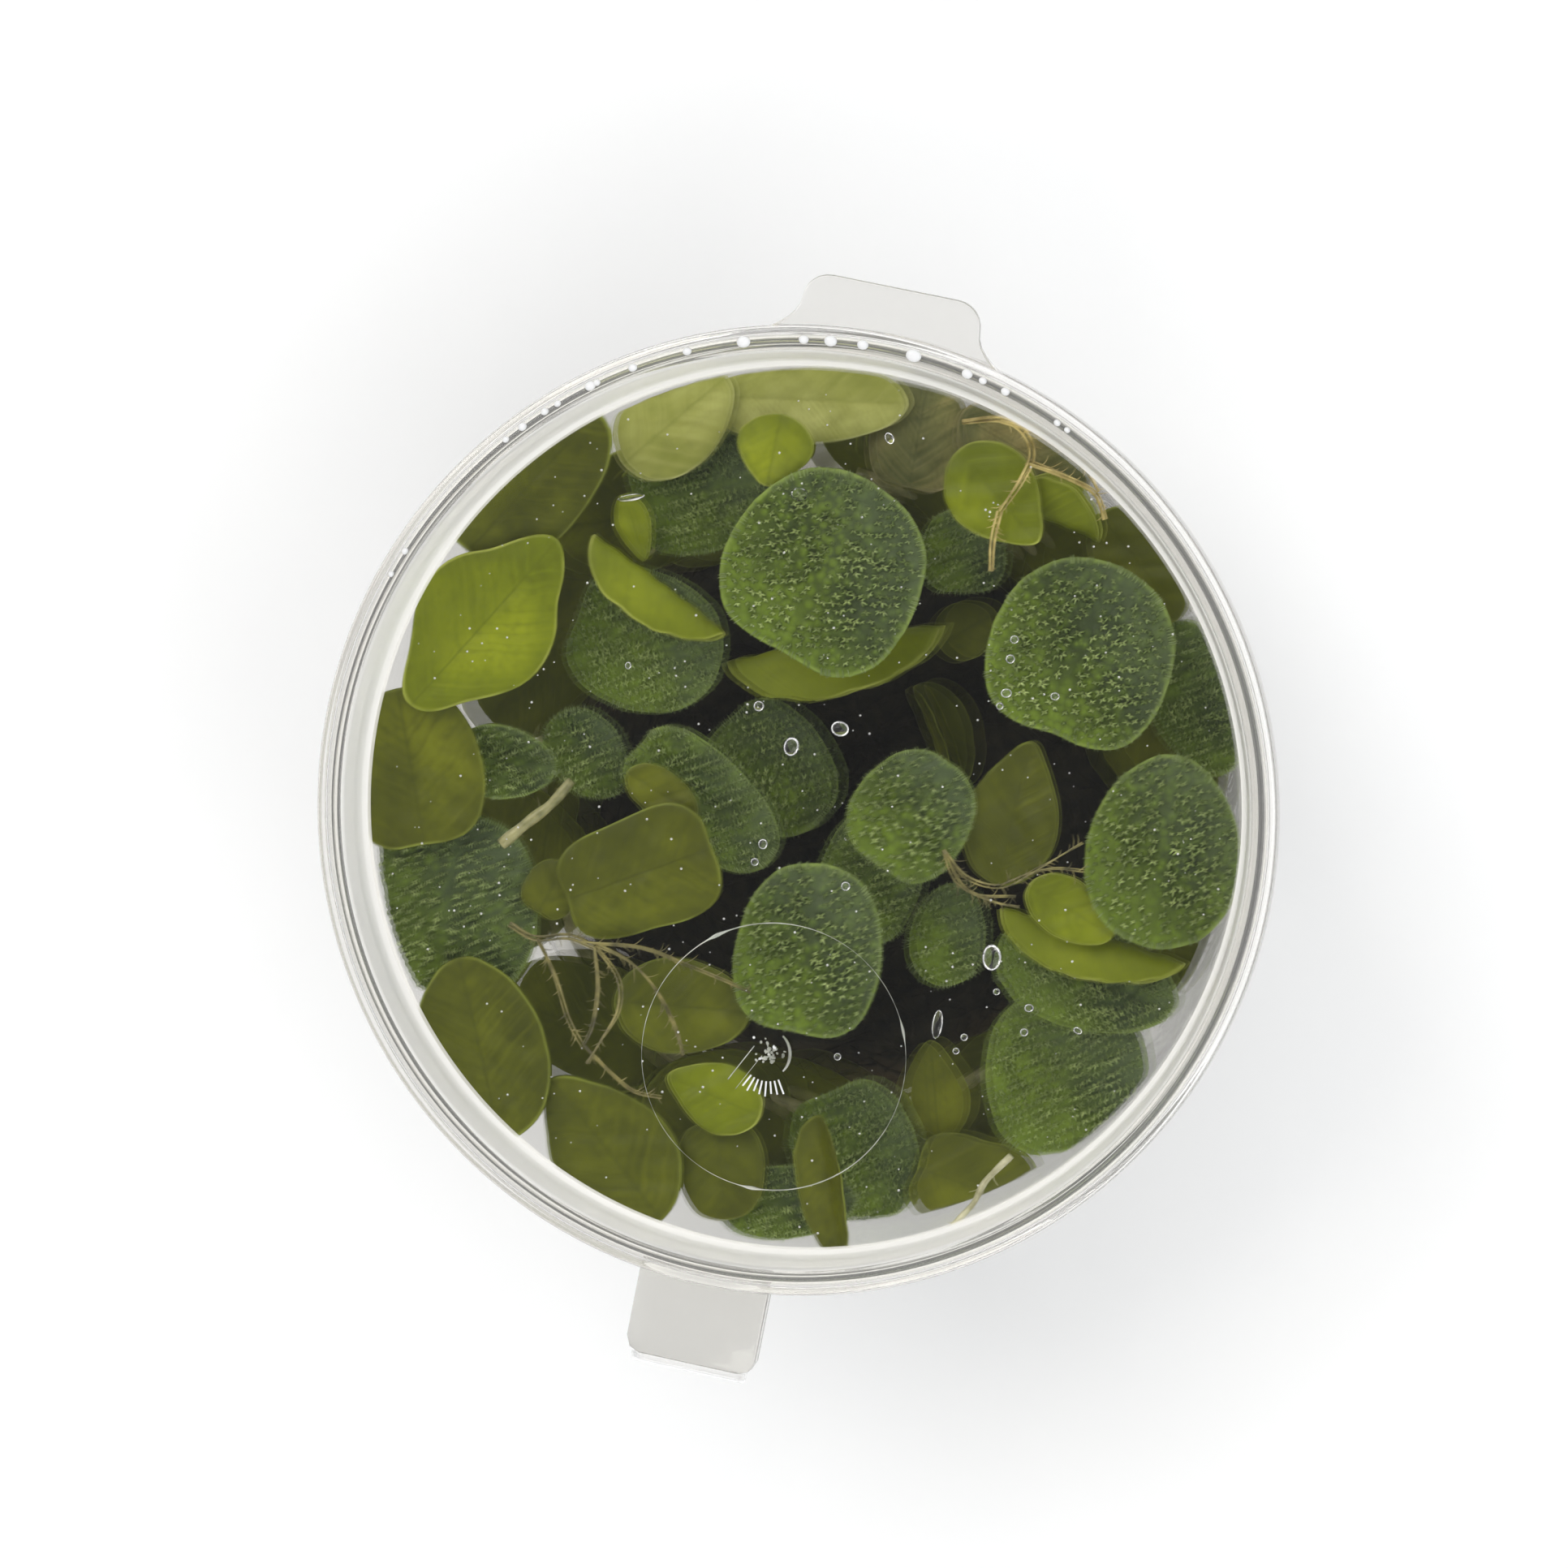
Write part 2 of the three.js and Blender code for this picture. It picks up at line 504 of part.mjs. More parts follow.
function branchLeaf(frond, branch, place) {
  const seed = frond * 17 + branch * 7 + place;
  const side = place % 2 === 0 ? -branch : branch;
  const share = THREE.MathUtils.lerp(FIRST_LEAF_SHARE, LAST_LEAF_SHARE, place / (BRANCH_LEAVES - 1));
  const { azimuth, height, radius } = stemPoint(frond, branch * share);
  const leaf = {
    long: 12.0 + varied(seed) * 1.1, wide: 10.4 + varied(seed + 50) * 0.9, aim: 0,
    outline: 'round', fold: 8 + 6 * varied(seed + 9),
  };
  const rise = THREE.MathUtils.degToRad(30 + 10 * varied(seed + 20));
  const geometry = leafGeometry(leaf, LOWER_SECTORS, LOWER_RINGS);
  geometry.rotateZ(-PHOTO_TURN);
  geometry.translate(leaf.long / 2 - 0.6, 0, 0);
  geometry.rotateZ(rise);
  if (side < 0) geometry.rotateY(Math.PI);
  geometry.rotateX(Math.PI / 2 + BRANCH_LEAN);
  geometry.rotateZ(Math.PI / 2 + side * THREE.MathUtils.degToRad(14));
  geometry.translate(radius, 0, height);
  return geometry.rotateZ(azimuth);
}

function lowerFrond(frond) {
  const pieces = [frondStem(frond)];
  for (const branch of [-1, 1]) {
    for (let place = 0; place < BRANCH_LEAVES; place += 1) pieces.push(branchLeaf(frond, branch, place));
  }
  return pressedInsidePot(joined(pieces));
}

// The finely divided roots of the lower fronds, lying in a soft heap on the pot's floor
const TANGLE_RADIUS = 21.4;
const TANGLE_BOTTOM = FLOOR_THICK + GAP;
const TANGLE_EDGE = 3.2;
const TANGLE_TOP = 12.6;
const TANGLE_CROWN = 1.3;
const TANGLE_SECTORS = 20;
const TANGLE_RINGS = 8;
const TANGLE_LOBES = 5;

function rootTangle() {
  const geometry = new THREE.SphereGeometry(1, TANGLE_SECTORS, TANGLE_RINGS).rotateX(Math.PI / 2);
  const point = geometry.attributes.position;
  for (let i = 0; i < point.count; i += 1) {
    const [x, y, z] = [point.getX(i), point.getY(i), point.getZ(i)];
    const angle = Math.atan2(y, x);
    const lobes = 1 + 0.03 * Math.cos(TANGLE_LOBES * angle) + 0.02 * Math.sin(2 * angle + 1);
    const low = THREE.MathUtils.lerp(TANGLE_BOTTOM, TANGLE_EDGE, 1 + Math.min(z, 0));
    const height = THREE.MathUtils.lerp(low, TANGLE_TOP, Math.max(z, 0) ** TANGLE_CROWN);
    point.setXYZ(i, x * lobes * TANGLE_RADIUS, y * lobes * TANGLE_RADIUS, height);
  }
  return geometry;
}

addPiece('pot', potGeometry(), plastic);
addPiece('lid', lidGeometry(), plastic);
for (const [name, strands] of Object.entries(STRANDS)) {
  const rootsAtHeight = (height) => joined(strands.map((strand) => strandGeometry(strand, height)));
  addPiece(name, settled(rootsAtHeight), rootFinish);
}
for (const leaf of LEAVES) {
  const leafAtHeight = (height) => {
    const place = planFromPhoto(leaf.x, leaf.y, height);
    return leafGeometry(leaf).translate(place.x, place.y, height);
  };
  addPiece(leaf.name, settled(leafAtHeight), leafFinish[leaf.finish]);
}
for (let frond = 0; frond < LOWER_FRONDS; frond += 1) {
  addPiece(`lower_frond_${frond + 1}`, lowerFrond(frond), leafFinish.smooth);
}

addPiece('root_tangle', geometryOf(solidOf(rootTangle())), tangleFinish);

export default watermoss;
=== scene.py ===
"""Clear hinged-lid pot packed with wet fronds of eared watermoss, a small floating fern."""
import math

import bpy
import bmesh
import numpy as np
from mathutils import Matrix, Vector


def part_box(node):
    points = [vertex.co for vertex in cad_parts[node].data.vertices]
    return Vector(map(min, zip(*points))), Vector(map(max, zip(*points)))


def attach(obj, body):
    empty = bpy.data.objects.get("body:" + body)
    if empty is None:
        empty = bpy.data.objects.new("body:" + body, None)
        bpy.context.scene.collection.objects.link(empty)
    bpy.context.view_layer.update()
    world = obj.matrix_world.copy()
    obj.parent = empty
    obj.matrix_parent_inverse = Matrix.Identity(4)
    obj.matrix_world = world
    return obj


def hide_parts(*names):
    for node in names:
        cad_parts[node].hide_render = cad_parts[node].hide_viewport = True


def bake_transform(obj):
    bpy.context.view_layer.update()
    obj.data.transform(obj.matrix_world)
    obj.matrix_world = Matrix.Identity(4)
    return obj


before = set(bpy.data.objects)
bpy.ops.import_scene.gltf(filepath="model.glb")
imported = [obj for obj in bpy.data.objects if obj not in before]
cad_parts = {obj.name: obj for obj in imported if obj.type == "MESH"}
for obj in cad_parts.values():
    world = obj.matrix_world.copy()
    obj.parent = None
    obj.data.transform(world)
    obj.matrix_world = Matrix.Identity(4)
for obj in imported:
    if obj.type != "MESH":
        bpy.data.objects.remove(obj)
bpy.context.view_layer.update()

bl_info = {
    "name": "Potted Watermoss",
    "version": (1, 0, 0),
    "blender": (4, 5, 0),
    "location": "View3D > Sidebar > Watermoss",
    "description": "Builds a clear pot with a hinged lid, packed with fronds of eared watermoss",
    "category": "Add Mesh",
}

MM = 0.001
PICTURE = 1932

# The pot and its lid, in millimetres, as in the part's source
ROUND_STEPS = 288
WALL = 0.5
GAP = 0.3
LID_RADIUS = 31.0
LID_TOP = 30.8
RECESS = 3.6
PANEL_THICK = 0.6
PANEL_TOP = LID_TOP - RECESS
PANEL_UNDER = PANEL_TOP - PANEL_THICK
MOUTH_RADIUS = 29.7
PLUG_OUTER = MOUTH_RADIUS - GAP
PANEL_RADIUS = PLUG_OUTER - 1.0
SHELF_Z = 25.8
SHELF_RADIUS = 29.2
FLOOR_THICK = 0.9
BASE_RADIUS = 23.6
BASE_LIFT = 0.45
FLANGE_TOP = 28.45
FLANGE_THICK = 0.65
FLANGE_UNDER = FLANGE_TOP - FLANGE_THICK
FLANGE_RADIUS = LID_RADIUS - 0.15
SKIRT_BOTTOM = 28.75
HINGE_Z = (FLANGE_TOP + SKIRT_BOTTOM) / 2
HINGE_Y = -36.4
STRAP_WIDTH = 8.5
STRAP_ROOT_Y = -30.5
STRAP_END_Y = HINGE_Y + GAP / 3
TAB_REACH = 34.0
TAB_WIDTH = 11.6
TAB_ROOT_WIDTH = 17.0
TAB_CORNER = 1.7
TAB_THICK = 0.7
TAB_DROP = 0.2
PLATE_ROUND = 0.14
SHARP_EDGE = math.radians(38)

# Turned outlines as radius and height, from the middle below, round the edge, to the middle above
OUTER_SHELF = SHELF_RADIUS + WALL
OUTER_MOUTH = MOUTH_RADIUS + WALL
UNDER_RIM = LID_TOP - WALL
WALL_FOOT = (BASE_RADIUS - 0.45, FLOOR_THICK + 0.7)
WALL_HEAD = (SHELF_RADIUS, SHELF_Z - 0.4)
POT_OUTLINE = [
    (0, BASE_LIFT), (BASE_RADIUS - 3.4, BASE_LIFT), (BASE_RADIUS - 2.7, 0), (BASE_RADIUS - 1.0, 0),
    (BASE_RADIUS + 0.1, 1.2), (OUTER_SHELF, SHELF_Z - 0.9), (OUTER_MOUTH, SHELF_Z - 0.3),
    (OUTER_MOUTH, FLANGE_UNDER), (FLANGE_RADIUS, FLANGE_UNDER), (FLANGE_RADIUS, FLANGE_TOP),
    (OUTER_MOUTH, FLANGE_TOP), (OUTER_MOUTH, UNDER_RIM - GAP), (MOUTH_RADIUS, UNDER_RIM - GAP),
    (MOUTH_RADIUS, SHELF_Z + 0.2), WALL_HEAD, WALL_FOOT, (BASE_RADIUS - 1.4, FLOOR_THICK), (0, FLOOR_THICK),
]
POT_ROUND = 0.3
LID_OUTLINE = [
    (0, PANEL_UNDER), (PLUG_OUTER - 0.7, PANEL_UNDER), (PLUG_OUTER, PANEL_UNDER + 0.5),
    (PLUG_OUTER, UNDER_RIM), (LID_RADIUS - WALL, UNDER_RIM), (LID_RADIUS - WALL, SKIRT_BOTTOM),
    (LID_RADIUS, SKIRT_BOTTOM), (LID_RADIUS, LID_TOP), (PLUG_OUTER - 0.1, LID_TOP),
    (PLUG_OUTER - 0.75, PANEL_TOP + 0.4), (PLUG_OUTER - 1.1, PANEL_TOP), (0, PANEL_TOP),
]
LID_ROUND = 0.42
ROUND_PARTS = 4
# The sides of a tube are set out from this direction, in which few lines run
TUBE_POLE = (0.12, 0.2, 0.97)

# The thin web of the hinge: its distance from the strap's sides, its size and its lap on the strap
WEB_INSET = 0.5
WEB_REACH = 0.55
WEB_THICK = 0.22
WEB_LAP = 0.1
WEB_ROWS = 9
WEB_PARTS = 12

# Finishes of the clear plastic: how milky it is, its shade, and how uneven its surface is
PLASTICS = {
    "clear_plastic": (0.0, 1.0, 0.12),
    "pot_plastic": (0.0, 0.96, 0.04),
    # Painted light: the flange is made milky white to lighten the dark lines that refraction leaves under
    # the rim
    "flange_painted_light_plastic": (0.25, 1.0, 0.03),
    "strap_plastic": (0.08, 0.88, 0.03),
    # Painted highlight: the panel's wall is made milky white for the bright ring of light that it reflects
    "panel_wall_painted_highlight_plastic": (0.5, 1.0, 0.03),
    "rim_plastic": (0.08, 0.98, 0.03),
    # Painted shade: the lid's outer edge is darkened for the dark line that refraction gives along the rim
    "edge_painted_shade_plastic": (0.08, 0.78, 0.03),
    "tab_plastic": (0.08, 0.95, 0.03),
}
# From which radius outwards each ring of the pot and of the lid has its own finish
POT_RINGS = {"flange_painted_light_plastic": OUTER_MOUTH + 0.02}
LID_RINGS = {
    "panel_wall_painted_highlight_plastic": PANEL_RADIUS, "rim_plastic": PLUG_OUTER + 0.02,
    "edge_painted_shade_plastic": LID_RADIUS - 0.12, "tab_plastic": LID_RADIUS + 0.02,
}
STRAP_FROM_Y = -(LID_RADIUS + 0.02)
PLASTIC_IOR = 1.47
WATER_IOR = 1.33

# How the photograph looks at the pot: scale at the rim, the lid's middle, its turn and its lean
PHOTO_SCALE = 19.35
PHOTO_MIDDLE = (976.3, 1000.4)
PHOTO_TURN = math.radians(11.2)
PHOTO_DISTANCE = 600
PHOTO_LEAN = math.radians(10)
LEAN_WAY = Vector((0.856, 0.518)).normalized()
RIM_MIDDLE = Vector((0, 0, LID_TOP))
PHOTO_BACK = Vector((LEAN_WAY.x, LEAN_WAY.y, 1 / math.tan(PHOTO_LEAN))).normalized()
PLAN_RIGHT = np.array([math.cos(PHOTO_TURN), math.sin(PHOTO_TURN), 0])
PLAN_UP = np.array([-math.sin(PHOTO_TURN), math.cos(PHOTO_TURN), 0])
PHOTO_RIGHT = Vector(PLAN_UP).cross(PHOTO_BACK).normalized()
PHOTO_UP = PHOTO_BACK.cross(PHOTO_RIGHT)
VIEW_POINT = RIM_MIDDLE + PHOTO_BACK * PHOTO_DISTANCE

# Leaves: how round a fold is, the room to the wall, the rib's dent, and how deep a hairy blade lies
FOLD_ROUND = 0.7
WALL_CLEARANCE = 0.25
RIB_DEPTH = 0.045
RIB_WIDTH = 0.22
HAIRY_SUNK = 0.1
NORMAL_STEP = 0.05
# Millimetres of leaf in one unit of the place map and of the form map
PLACE_SIZE = 20.0
FORM_SIZE = 10.0
BLADE_SECTORS = 64
BLADE_SHARES = (0.0, 0.1, 0.2, 0.31, 0.42, 0.53, 0.63, 0.72, 0.8, 0.87, 0.92, 0.96, 0.985, 1.0)
# How square, how egg-shaped and how notched each kind of leaf is
OUTLINES = {
    "round": (0.1, 0.05, 0.12),
    "oval": (0.0, 0.12, 0.0),
    "pointed": (-0.12, 0.3, 0.0),
    "fan": (0.35, -0.1, 0.05),
    "kite": (-0.35, 0.0, 0.0),
}

# Tufts of hair. A strand's foot, bend and tip: how far out, how high and how thick it is, in shares
TUFT_STRANDS = 4
TUFT_STRAND = ((0.3, 0.0, 0.34), (0.9, 0.5, 0.34), (0.14, 1.0, 0.3))
TUFT_TURN = 0.4
TUFT_SPREAD = 0.5
TUFT_STRETCH = 1.7
TUFT_INSET = 0.08
TUFT_MISSING = 0.12
TUFT_JITTER = 0.14
ROW_JITTER = 0.12
TUFT_LEAN = 0.25
TUFT_LEAN_SPREAD = 0.22
TUFT_EDGE = 0.95
ROW_SLANT = math.radians(62)
# Short hairs round the edge: how many, between which shares they start, their reach, rise and radii
EDGE_HAIRS = 150
EDGE_HAIR_ROOTS = (0.93, 0.985)
EDGE_HAIR_REACH = (0.08, 0.24)
EDGE_HAIR_RISE = (-0.12, 0.1)
EDGE_HAIR_SWAY = (-0.08, 0.08)
EDGE_HAIR_RADII = (0.035, 0.03, 0.012)
EDGE_HAIR_SHADE = 0.8

# Colours of the hairy leaves and of their hair, with the painted light, sheen and shade among them
GRAIN = (0.15, 0.23, 0.018)
# Painted light: the lower left side of a hairy leaf is made brighter green
LIT_SIDE = (0.15, 0.225, 0.015)
HAIRY_EDGE = (0.26, 0.35, 0.07)
# Painted sheen for the soft light that the hairs throw back
PAINTED_SHEEN = (0.095, 0.13, 0.055)
# The hairs' foot is painted shade and their tip painted light, over their own pale green
SHADED_HAIR_FOOT = (0.02, 0.04, 0.004)
HAIR_MIDDLE = (0.1, 0.165, 0.015)
LIT_HAIR_TIP = (0.6, 0.72, 0.26)
HAIR_PATCH = (0.035, 0.06, 0.012)
HAIR_DULL = (0.08, 0.13, 0.016)
# Colours of the other leaves: dark, middle, light and edge
LEAF_COLOURS = {
    "smooth": ((0.045, 0.052, 0.001), (0.085, 0.096, 0.002), (0.14, 0.155, 0.003), (0.2, 0.235, 0.03)),
    "bright": ((0.1, 0.125, 0.001), (0.16, 0.195, 0.002), (0.24, 0.28, 0.006), (0.38, 0.42, 0.08)),
    "pale": ((0.18, 0.2, 0.03), (0.3, 0.315, 0.075), (0.44, 0.45, 0.15), (0.44, 0.45, 0.18)),
    "brown": ((0.05, 0.06, 0.018), (0.16, 0.16, 0.05), (0.4, 0.32, 0.12), (0.32, 0.28, 0.13)),
}
# How strongly the net of fine veins shows
VEIN_NET = {"smooth": 0.14, "bright": 0.07, "pale": 0.12, "brown": 0.3}


def leaf(name, finish, outline, pixel, size, aim, fold=0, roll=0, pitch=0, bow=0, cup=0):
    return {
        "name": name, "finish": finish, "outline": outline, "pixel": pixel, "long": size[0],
        "wide": size[1], "aim": aim, "fold": fold, "roll": roll, "pitch": pitch, "bow": bow, "cup": cup,
    }


LEAVES = [
    leaf("left_bright", "bright", "kite", (597, 768), (14.6, 9.4), 48, bow=0.3),
    leaf("left_wall_olive", "smooth", "oval", (592, 1294), (12.4, 8.8), 103, bow=0.2),
    leaf("rim_dark", "smooth", "round", (652, 598), (13.4, 7.6), 47, bow=0.2),
    leaf("left_wall_smooth", "smooth", "round", (508, 950), (11.0, 9.4), 100, bow=0.2),
    leaf("centre_cupped", "hairy", "round", (1016, 705), (13.2, 12.9), 60, cup=0.35),
    leaf("upper_right_round", "hairy", "round", (1331, 807), (12.4, 12.0), 70, cup=-0.3),
    leaf("right_oval", "hairy", "oval", (1433, 1050), (12.6, 10.1), 84, cup=-0.3),
    leaf("middle_tall", "hairy", "round", (995, 1175), (11.8, 9.6), 80, cup=-0.3),
    leaf("centre_round", "hairy", "round", (1122, 1006), (8.7, 7.8), 55, cup=-0.25),
    leaf("lower_left_large", "smooth", "pointed", (748, 1416), (11.8, 8.0), 129, bow=0.3),
    leaf("left_olive", "smooth", "fan", (787, 1077), (10.4, 7.4), 20, bow=0.3),
    leaf("upper_left_narrow", "bright", "oval", (813, 720), (10.8, 6.4), -36, fold=80, roll=84),
    leaf("upper_left_strip", "bright", "pointed", (782, 650), (4.6, 2.3), -72),
    leaf("top_kite", "bright", "pointed", (954, 555), (4.8, 4.9), -100, pitch=10),
    leaf("upper_right_kite", "bright", "pointed", (1229, 612), (8.0, 5.8), -47, pitch=6),
    leaf("upper_right_fold", "bright", "oval", (1299, 640), (6.6, 6.2), -25, fold=80, roll=-84),
    leaf("right_small_bright", "bright", "oval", (1320, 1122), (6.4, 3.9), -30, bow=0.2),
    leaf("right_crescent", "bright", "oval", (1347, 1153), (12.6, 6.6), -16, fold=80, roll=84),
    leaf("lower_bright", "bright", "pointed", (880, 1350), (6.8, 4.5), 158, pitch=-6),
    leaf("right_rim_olive", "smooth", "oval", (1405, 697), (8.6, 5.4), -52),
    leaf("top_left_pale", "pale", "oval", (832, 518), (9.0, 6.4), 40),
    leaf("top_rim_pale", "pale", "oval", (992, 492), (13.6, 5.8), -2, bow=-0.3),
    leaf("upper_right_brown", "brown", "oval", (1262, 558), (9.6, 5.8), -30),
    leaf("top_decayed", "brown", "round", (1132, 536), (8.0, 6.4), 80, cup=-0.2),
    leaf("right_midrib", "smooth", "pointed", (1250, 1002), (9.6, 6.2), 76, fold=10),
    leaf("left_under", "smooth", "oval", (816, 978), (5.4, 3.0), -32),
    leaf("left_two_lobed", "hairy", "round", (864, 986), (12.2, 6.6), -41, fold=22, roll=-12),
    leaf("left_cup", "hairy", "oval", (623, 938), (6.8, 5.6), -8, fold=35),
    leaf("left_grey", "hairy", "oval", (722, 930), (6.6, 5.0), -50, cup=-0.3),
    leaf("left_dark_round", "hairy", "round", (792, 790), (10.6, 9.2), -20, cup=-0.4),
    leaf("centre_crescent", "bright", "oval", (1030, 792), (14.6, 7.8), 10, fold=78, roll=88),
    leaf("left_lower_olive", "smooth", "oval", (842, 1240), (9.0, 6.2), -4, bow=0.3),
    leaf("right_dark_crescent", "hairy", "oval", (1338, 1204), (12.4, 7.0), -17, bow=-0.4),
    leaf("lower_right_round", "hairy", "round", (1314, 1324), (11.6, 10.8), 95, cup=-0.4),
    leaf("bottom_right_olive", "smooth", "fan", (1198, 1462), (8.0, 6.4), -18),
    leaf("lower_smooth", "smooth", "round", (889, 1440), (6.8, 5.8), -86),
    leaf("bottom_long_fold", "smooth", "oval", (1022, 1464), (9.6, 4.2), -80, fold=40, roll=20),
    leaf("bottom_dark", "hairy", "oval", (968, 1482), (9.4, 4.8), 4, bow=-0.3),
    leaf("lower_hairy", "hairy", "round", (1054, 1420), (9.8, 8.2), -66, cup=-0.4),
    leaf("lower_tip", "smooth", "pointed", (1152, 1345), (6.8, 4.5), 95),
    leaf("centre_small_dark", "hairy", "oval", (1168, 1152), (6.8, 5.0), 80, cup=-0.2),
    leaf("centre_fold", "smooth", "oval", (1155, 908), (7.4, 5.2), -68, fold=66, roll=-50),
    leaf("top_hairy", "hairy", "round", (864, 604), (10.4, 8.2), 12, cup=-0.3),
    leaf("left_small_dark", "smooth", "round", (679, 1096), (4.0, 3.6), 60),
    leaf("left_wall_hairy", "hairy", "round", (550, 1118), (12.8, 12.2), 80, cup=-0.3),
    leaf("upper_dark_hairy", "hairy", "round", (1186, 681), (5.8, 5.6), 90, cup=-0.3),
    leaf("upper_khaki", "smooth", "oval", (1192, 775), (4.4, 3.8), 30),
    leaf("right_wall_hairy", "hairy", "oval", (1474, 860), (10.6, 6.4), -70, bow=-0.4),
    leaf("centre_behind", "hairy", "round", (1072, 1080), (9.6, 6.8), 70, cup=-0.3),
    leaf("centre_dark_lobe", "hairy", "round", (950, 946), (9.6, 7.6), -48, cup=-0.4),
]

# Roots and stems: each strand is its radius and the photograph's pixels that it runs through
STRANDS = {
    "roots_left": [
        (0.3, [(628, 1138), (660, 1156), (700, 1154), (735, 1168)]),
        (0.24, [(662, 1156), (684, 1205), (700, 1255), (720, 1292)]),
        (0.22, [(733, 1166), (737, 1215), (730, 1262), (718, 1288)]),
        (0.22, [(736, 1167), (762, 1205), (762, 1245), (738, 1285), (722, 1310)]),
        (0.22, [(735, 1164), (775, 1185), (808, 1220), (832, 1265), (843, 1300)]),
        (0.2, [(716, 1160), (790, 1168), (850, 1190), (925, 1222)]),
        (0.2, [(719, 1288), (756, 1325), (782, 1345), (815, 1352)]),
    ],
    "roots_right": [
        (0.22, [(1163, 1047), (1180, 1088), (1225, 1112), (1256, 1118)]),
        (0.22, [(1163, 1047), (1190, 1080), (1232, 1092), (1275, 1072), (1334, 1038)]),
        (0.2, [(1163, 1047), (1196, 1098), (1252, 1105)]),
        (0.22, [(1234, 1092), (1268, 1078), (1300, 1071), (1336, 1074)]),
    ],
    "roots_top": [
        (0.22, [(1186, 518), (1234, 516), (1262, 532), (1272, 560), (1258, 592), (1232, 630)]),
        (0.2, [(1232, 630), (1224, 665), (1222, 704)]),
        (0.2, [(1268, 570), (1316, 588), (1350, 608), (1362, 640)]),
        (0.2, [(1234, 517), (1290, 536), (1332, 568), (1352, 607)]),
    ],
    "stem_left": [(0.42, [(618, 1040), (652, 1012), (680, 990), (704, 962)])],
    "stem_bottom": [(0.24, [(1246, 1424), (1214, 1456), (1200, 1482), (1172, 1512)])],
}

# Skins of the roots and stems: the material's name, its dark and its light colour
ROOT_SKINS = {
    "roots_top": ("root_golden", (0.22, 0.17, 0.035), (0.62, 0.5, 0.18)),
    "stem_left": ("stem_skin", (0.12, 0.12, 0.035), (0.34, 0.32, 0.14)),
    "stem_bottom": ("stem_cream", (0.3, 0.29, 0.16), (0.62, 0.6, 0.4)),
}
TAN_SKIN = ("root_fibre", (0.07, 0.062, 0.014), (0.3, 0.26, 0.08))
# Painted shade: the roots of the heap are near black for the shade deep in the pot
HEAP_SKIN = ("root_heap_painted_shade", (0.003, 0.003, 0.001), (0.02, 0.018, 0.008))
HEAP_WET = 0.03
# Painted light: the foot of the heap is lighter where light comes through the wall
HEAP_LIT_FOOT_COLOUR = (0.05, 0.036, 0.015)
ROOT_GIRTH = 0.85
GOLDEN_GIRTH = 1.25
ROOT_STRANDS = 4
ROOT_HAIRS = 2.6
STEM_HAIRS = 1.2
SIDE_HAIR_RADII = (0.045, 0.015)

# Fronds lower down
LOWER_FRONDS = 2
BRANCH_LEAVES = 5
FIRST_LEAF_SHARE = 0.22
LAST_LEAF_SHARE = 0.95
BRANCH_SPREAD = math.radians(78)
BRANCH_LEAN = math.radians(50)
BRANCH_FOOT = 9.4
BRANCH_TOP = 12.6
FROND_FROM_WALL = 4.8
FROND_TURN = math.radians(20)
STEM_RADIUS = 0.5
LOWER_LEAF_LONG = 12.0
LOWER_LEAF_WIDE = 10.4
LOWER_LEAF_SHARE = 0.97
LOWER_LEAF_THICK = 0.3
LOWER_LEAF_SPLAY = math.radians(14)
LOWER_LEAF_SECTORS = 40
LOWER_LEAF_SHARES = (0, 0.2, 0.4, 0.6, 0.78, 0.9, 0.97, 1.0)

# The heap of roots
TANGLE_RADIUS = 21.4
TANGLE_BOTTOM = FLOOR_THICK + GAP
TANGLE_EDGE = 3.2
TANGLE_TOP = 12.6
TANGLE_CROWN = 1.3
TANGLE_LOBES = 5
TANGLE_COLUMNS = 96
TANGLE_ROWS = 36
TANGLE_STRANDS = 900
TANGLE_STRAND_STEPS = 10
TANGLE_STRAND_RADII = (0.05, 0.13)

# Drops that cling under the lid's panel: pixel, radii in millimetres, turn in degrees
LID_DROPS = [
    ((935, 870), (0.34, 0.34), 0), ((975, 920), (0.5, 0.62), 10), ((1035, 898), (0.6, 0.5), 15),
    ((940, 1040), (0.3, 0.34), 0), ((930, 1062), (0.26, 0.26), 0), ((1222, 1180), (0.62, 0.86), 0),
    ((1155, 1262), (0.34, 0.95), 8), ((1188, 1278), (0.24, 0.24), 0), ((1178, 1295), (0.22, 0.22), 0),
    ((1240, 854), (0.36, 0.3), 0), ((1250, 788), (0.28, 0.28), 0), ((1232, 870), (0.24, 0.24), 0),
    ((774, 820), (0.2, 0.24), 0), ((1042, 1092), (0.3, 0.3), 0), ((1268, 1242), (0.3, 0.26), 0),
    ((1228, 1222), (0.22, 0.22), 0), ((1032, 1302), (0.24, 0.24), 0), ((1262, 1272), (0.26, 0.26), 0),
    ((778, 613), (0.9, 0.22), -8), ((985, 609), (0.55, 0.45), 5), ((1328, 1270), (0.3, 0.2), 30),
    ((1096, 540), (0.4, 0.28), 60), ((1300, 858), (0.3, 0.26), 0), ((1245, 812), (0.3, 0.3), 0),
]
DROP_HEIGHT = 0.85
DROP_LAP = 0.004
SPECKS = 380
SPECK_REACH = 27.5
SPECK_SIZES = (0.03, 0.085)
SPECK_HEIGHT = 0.6
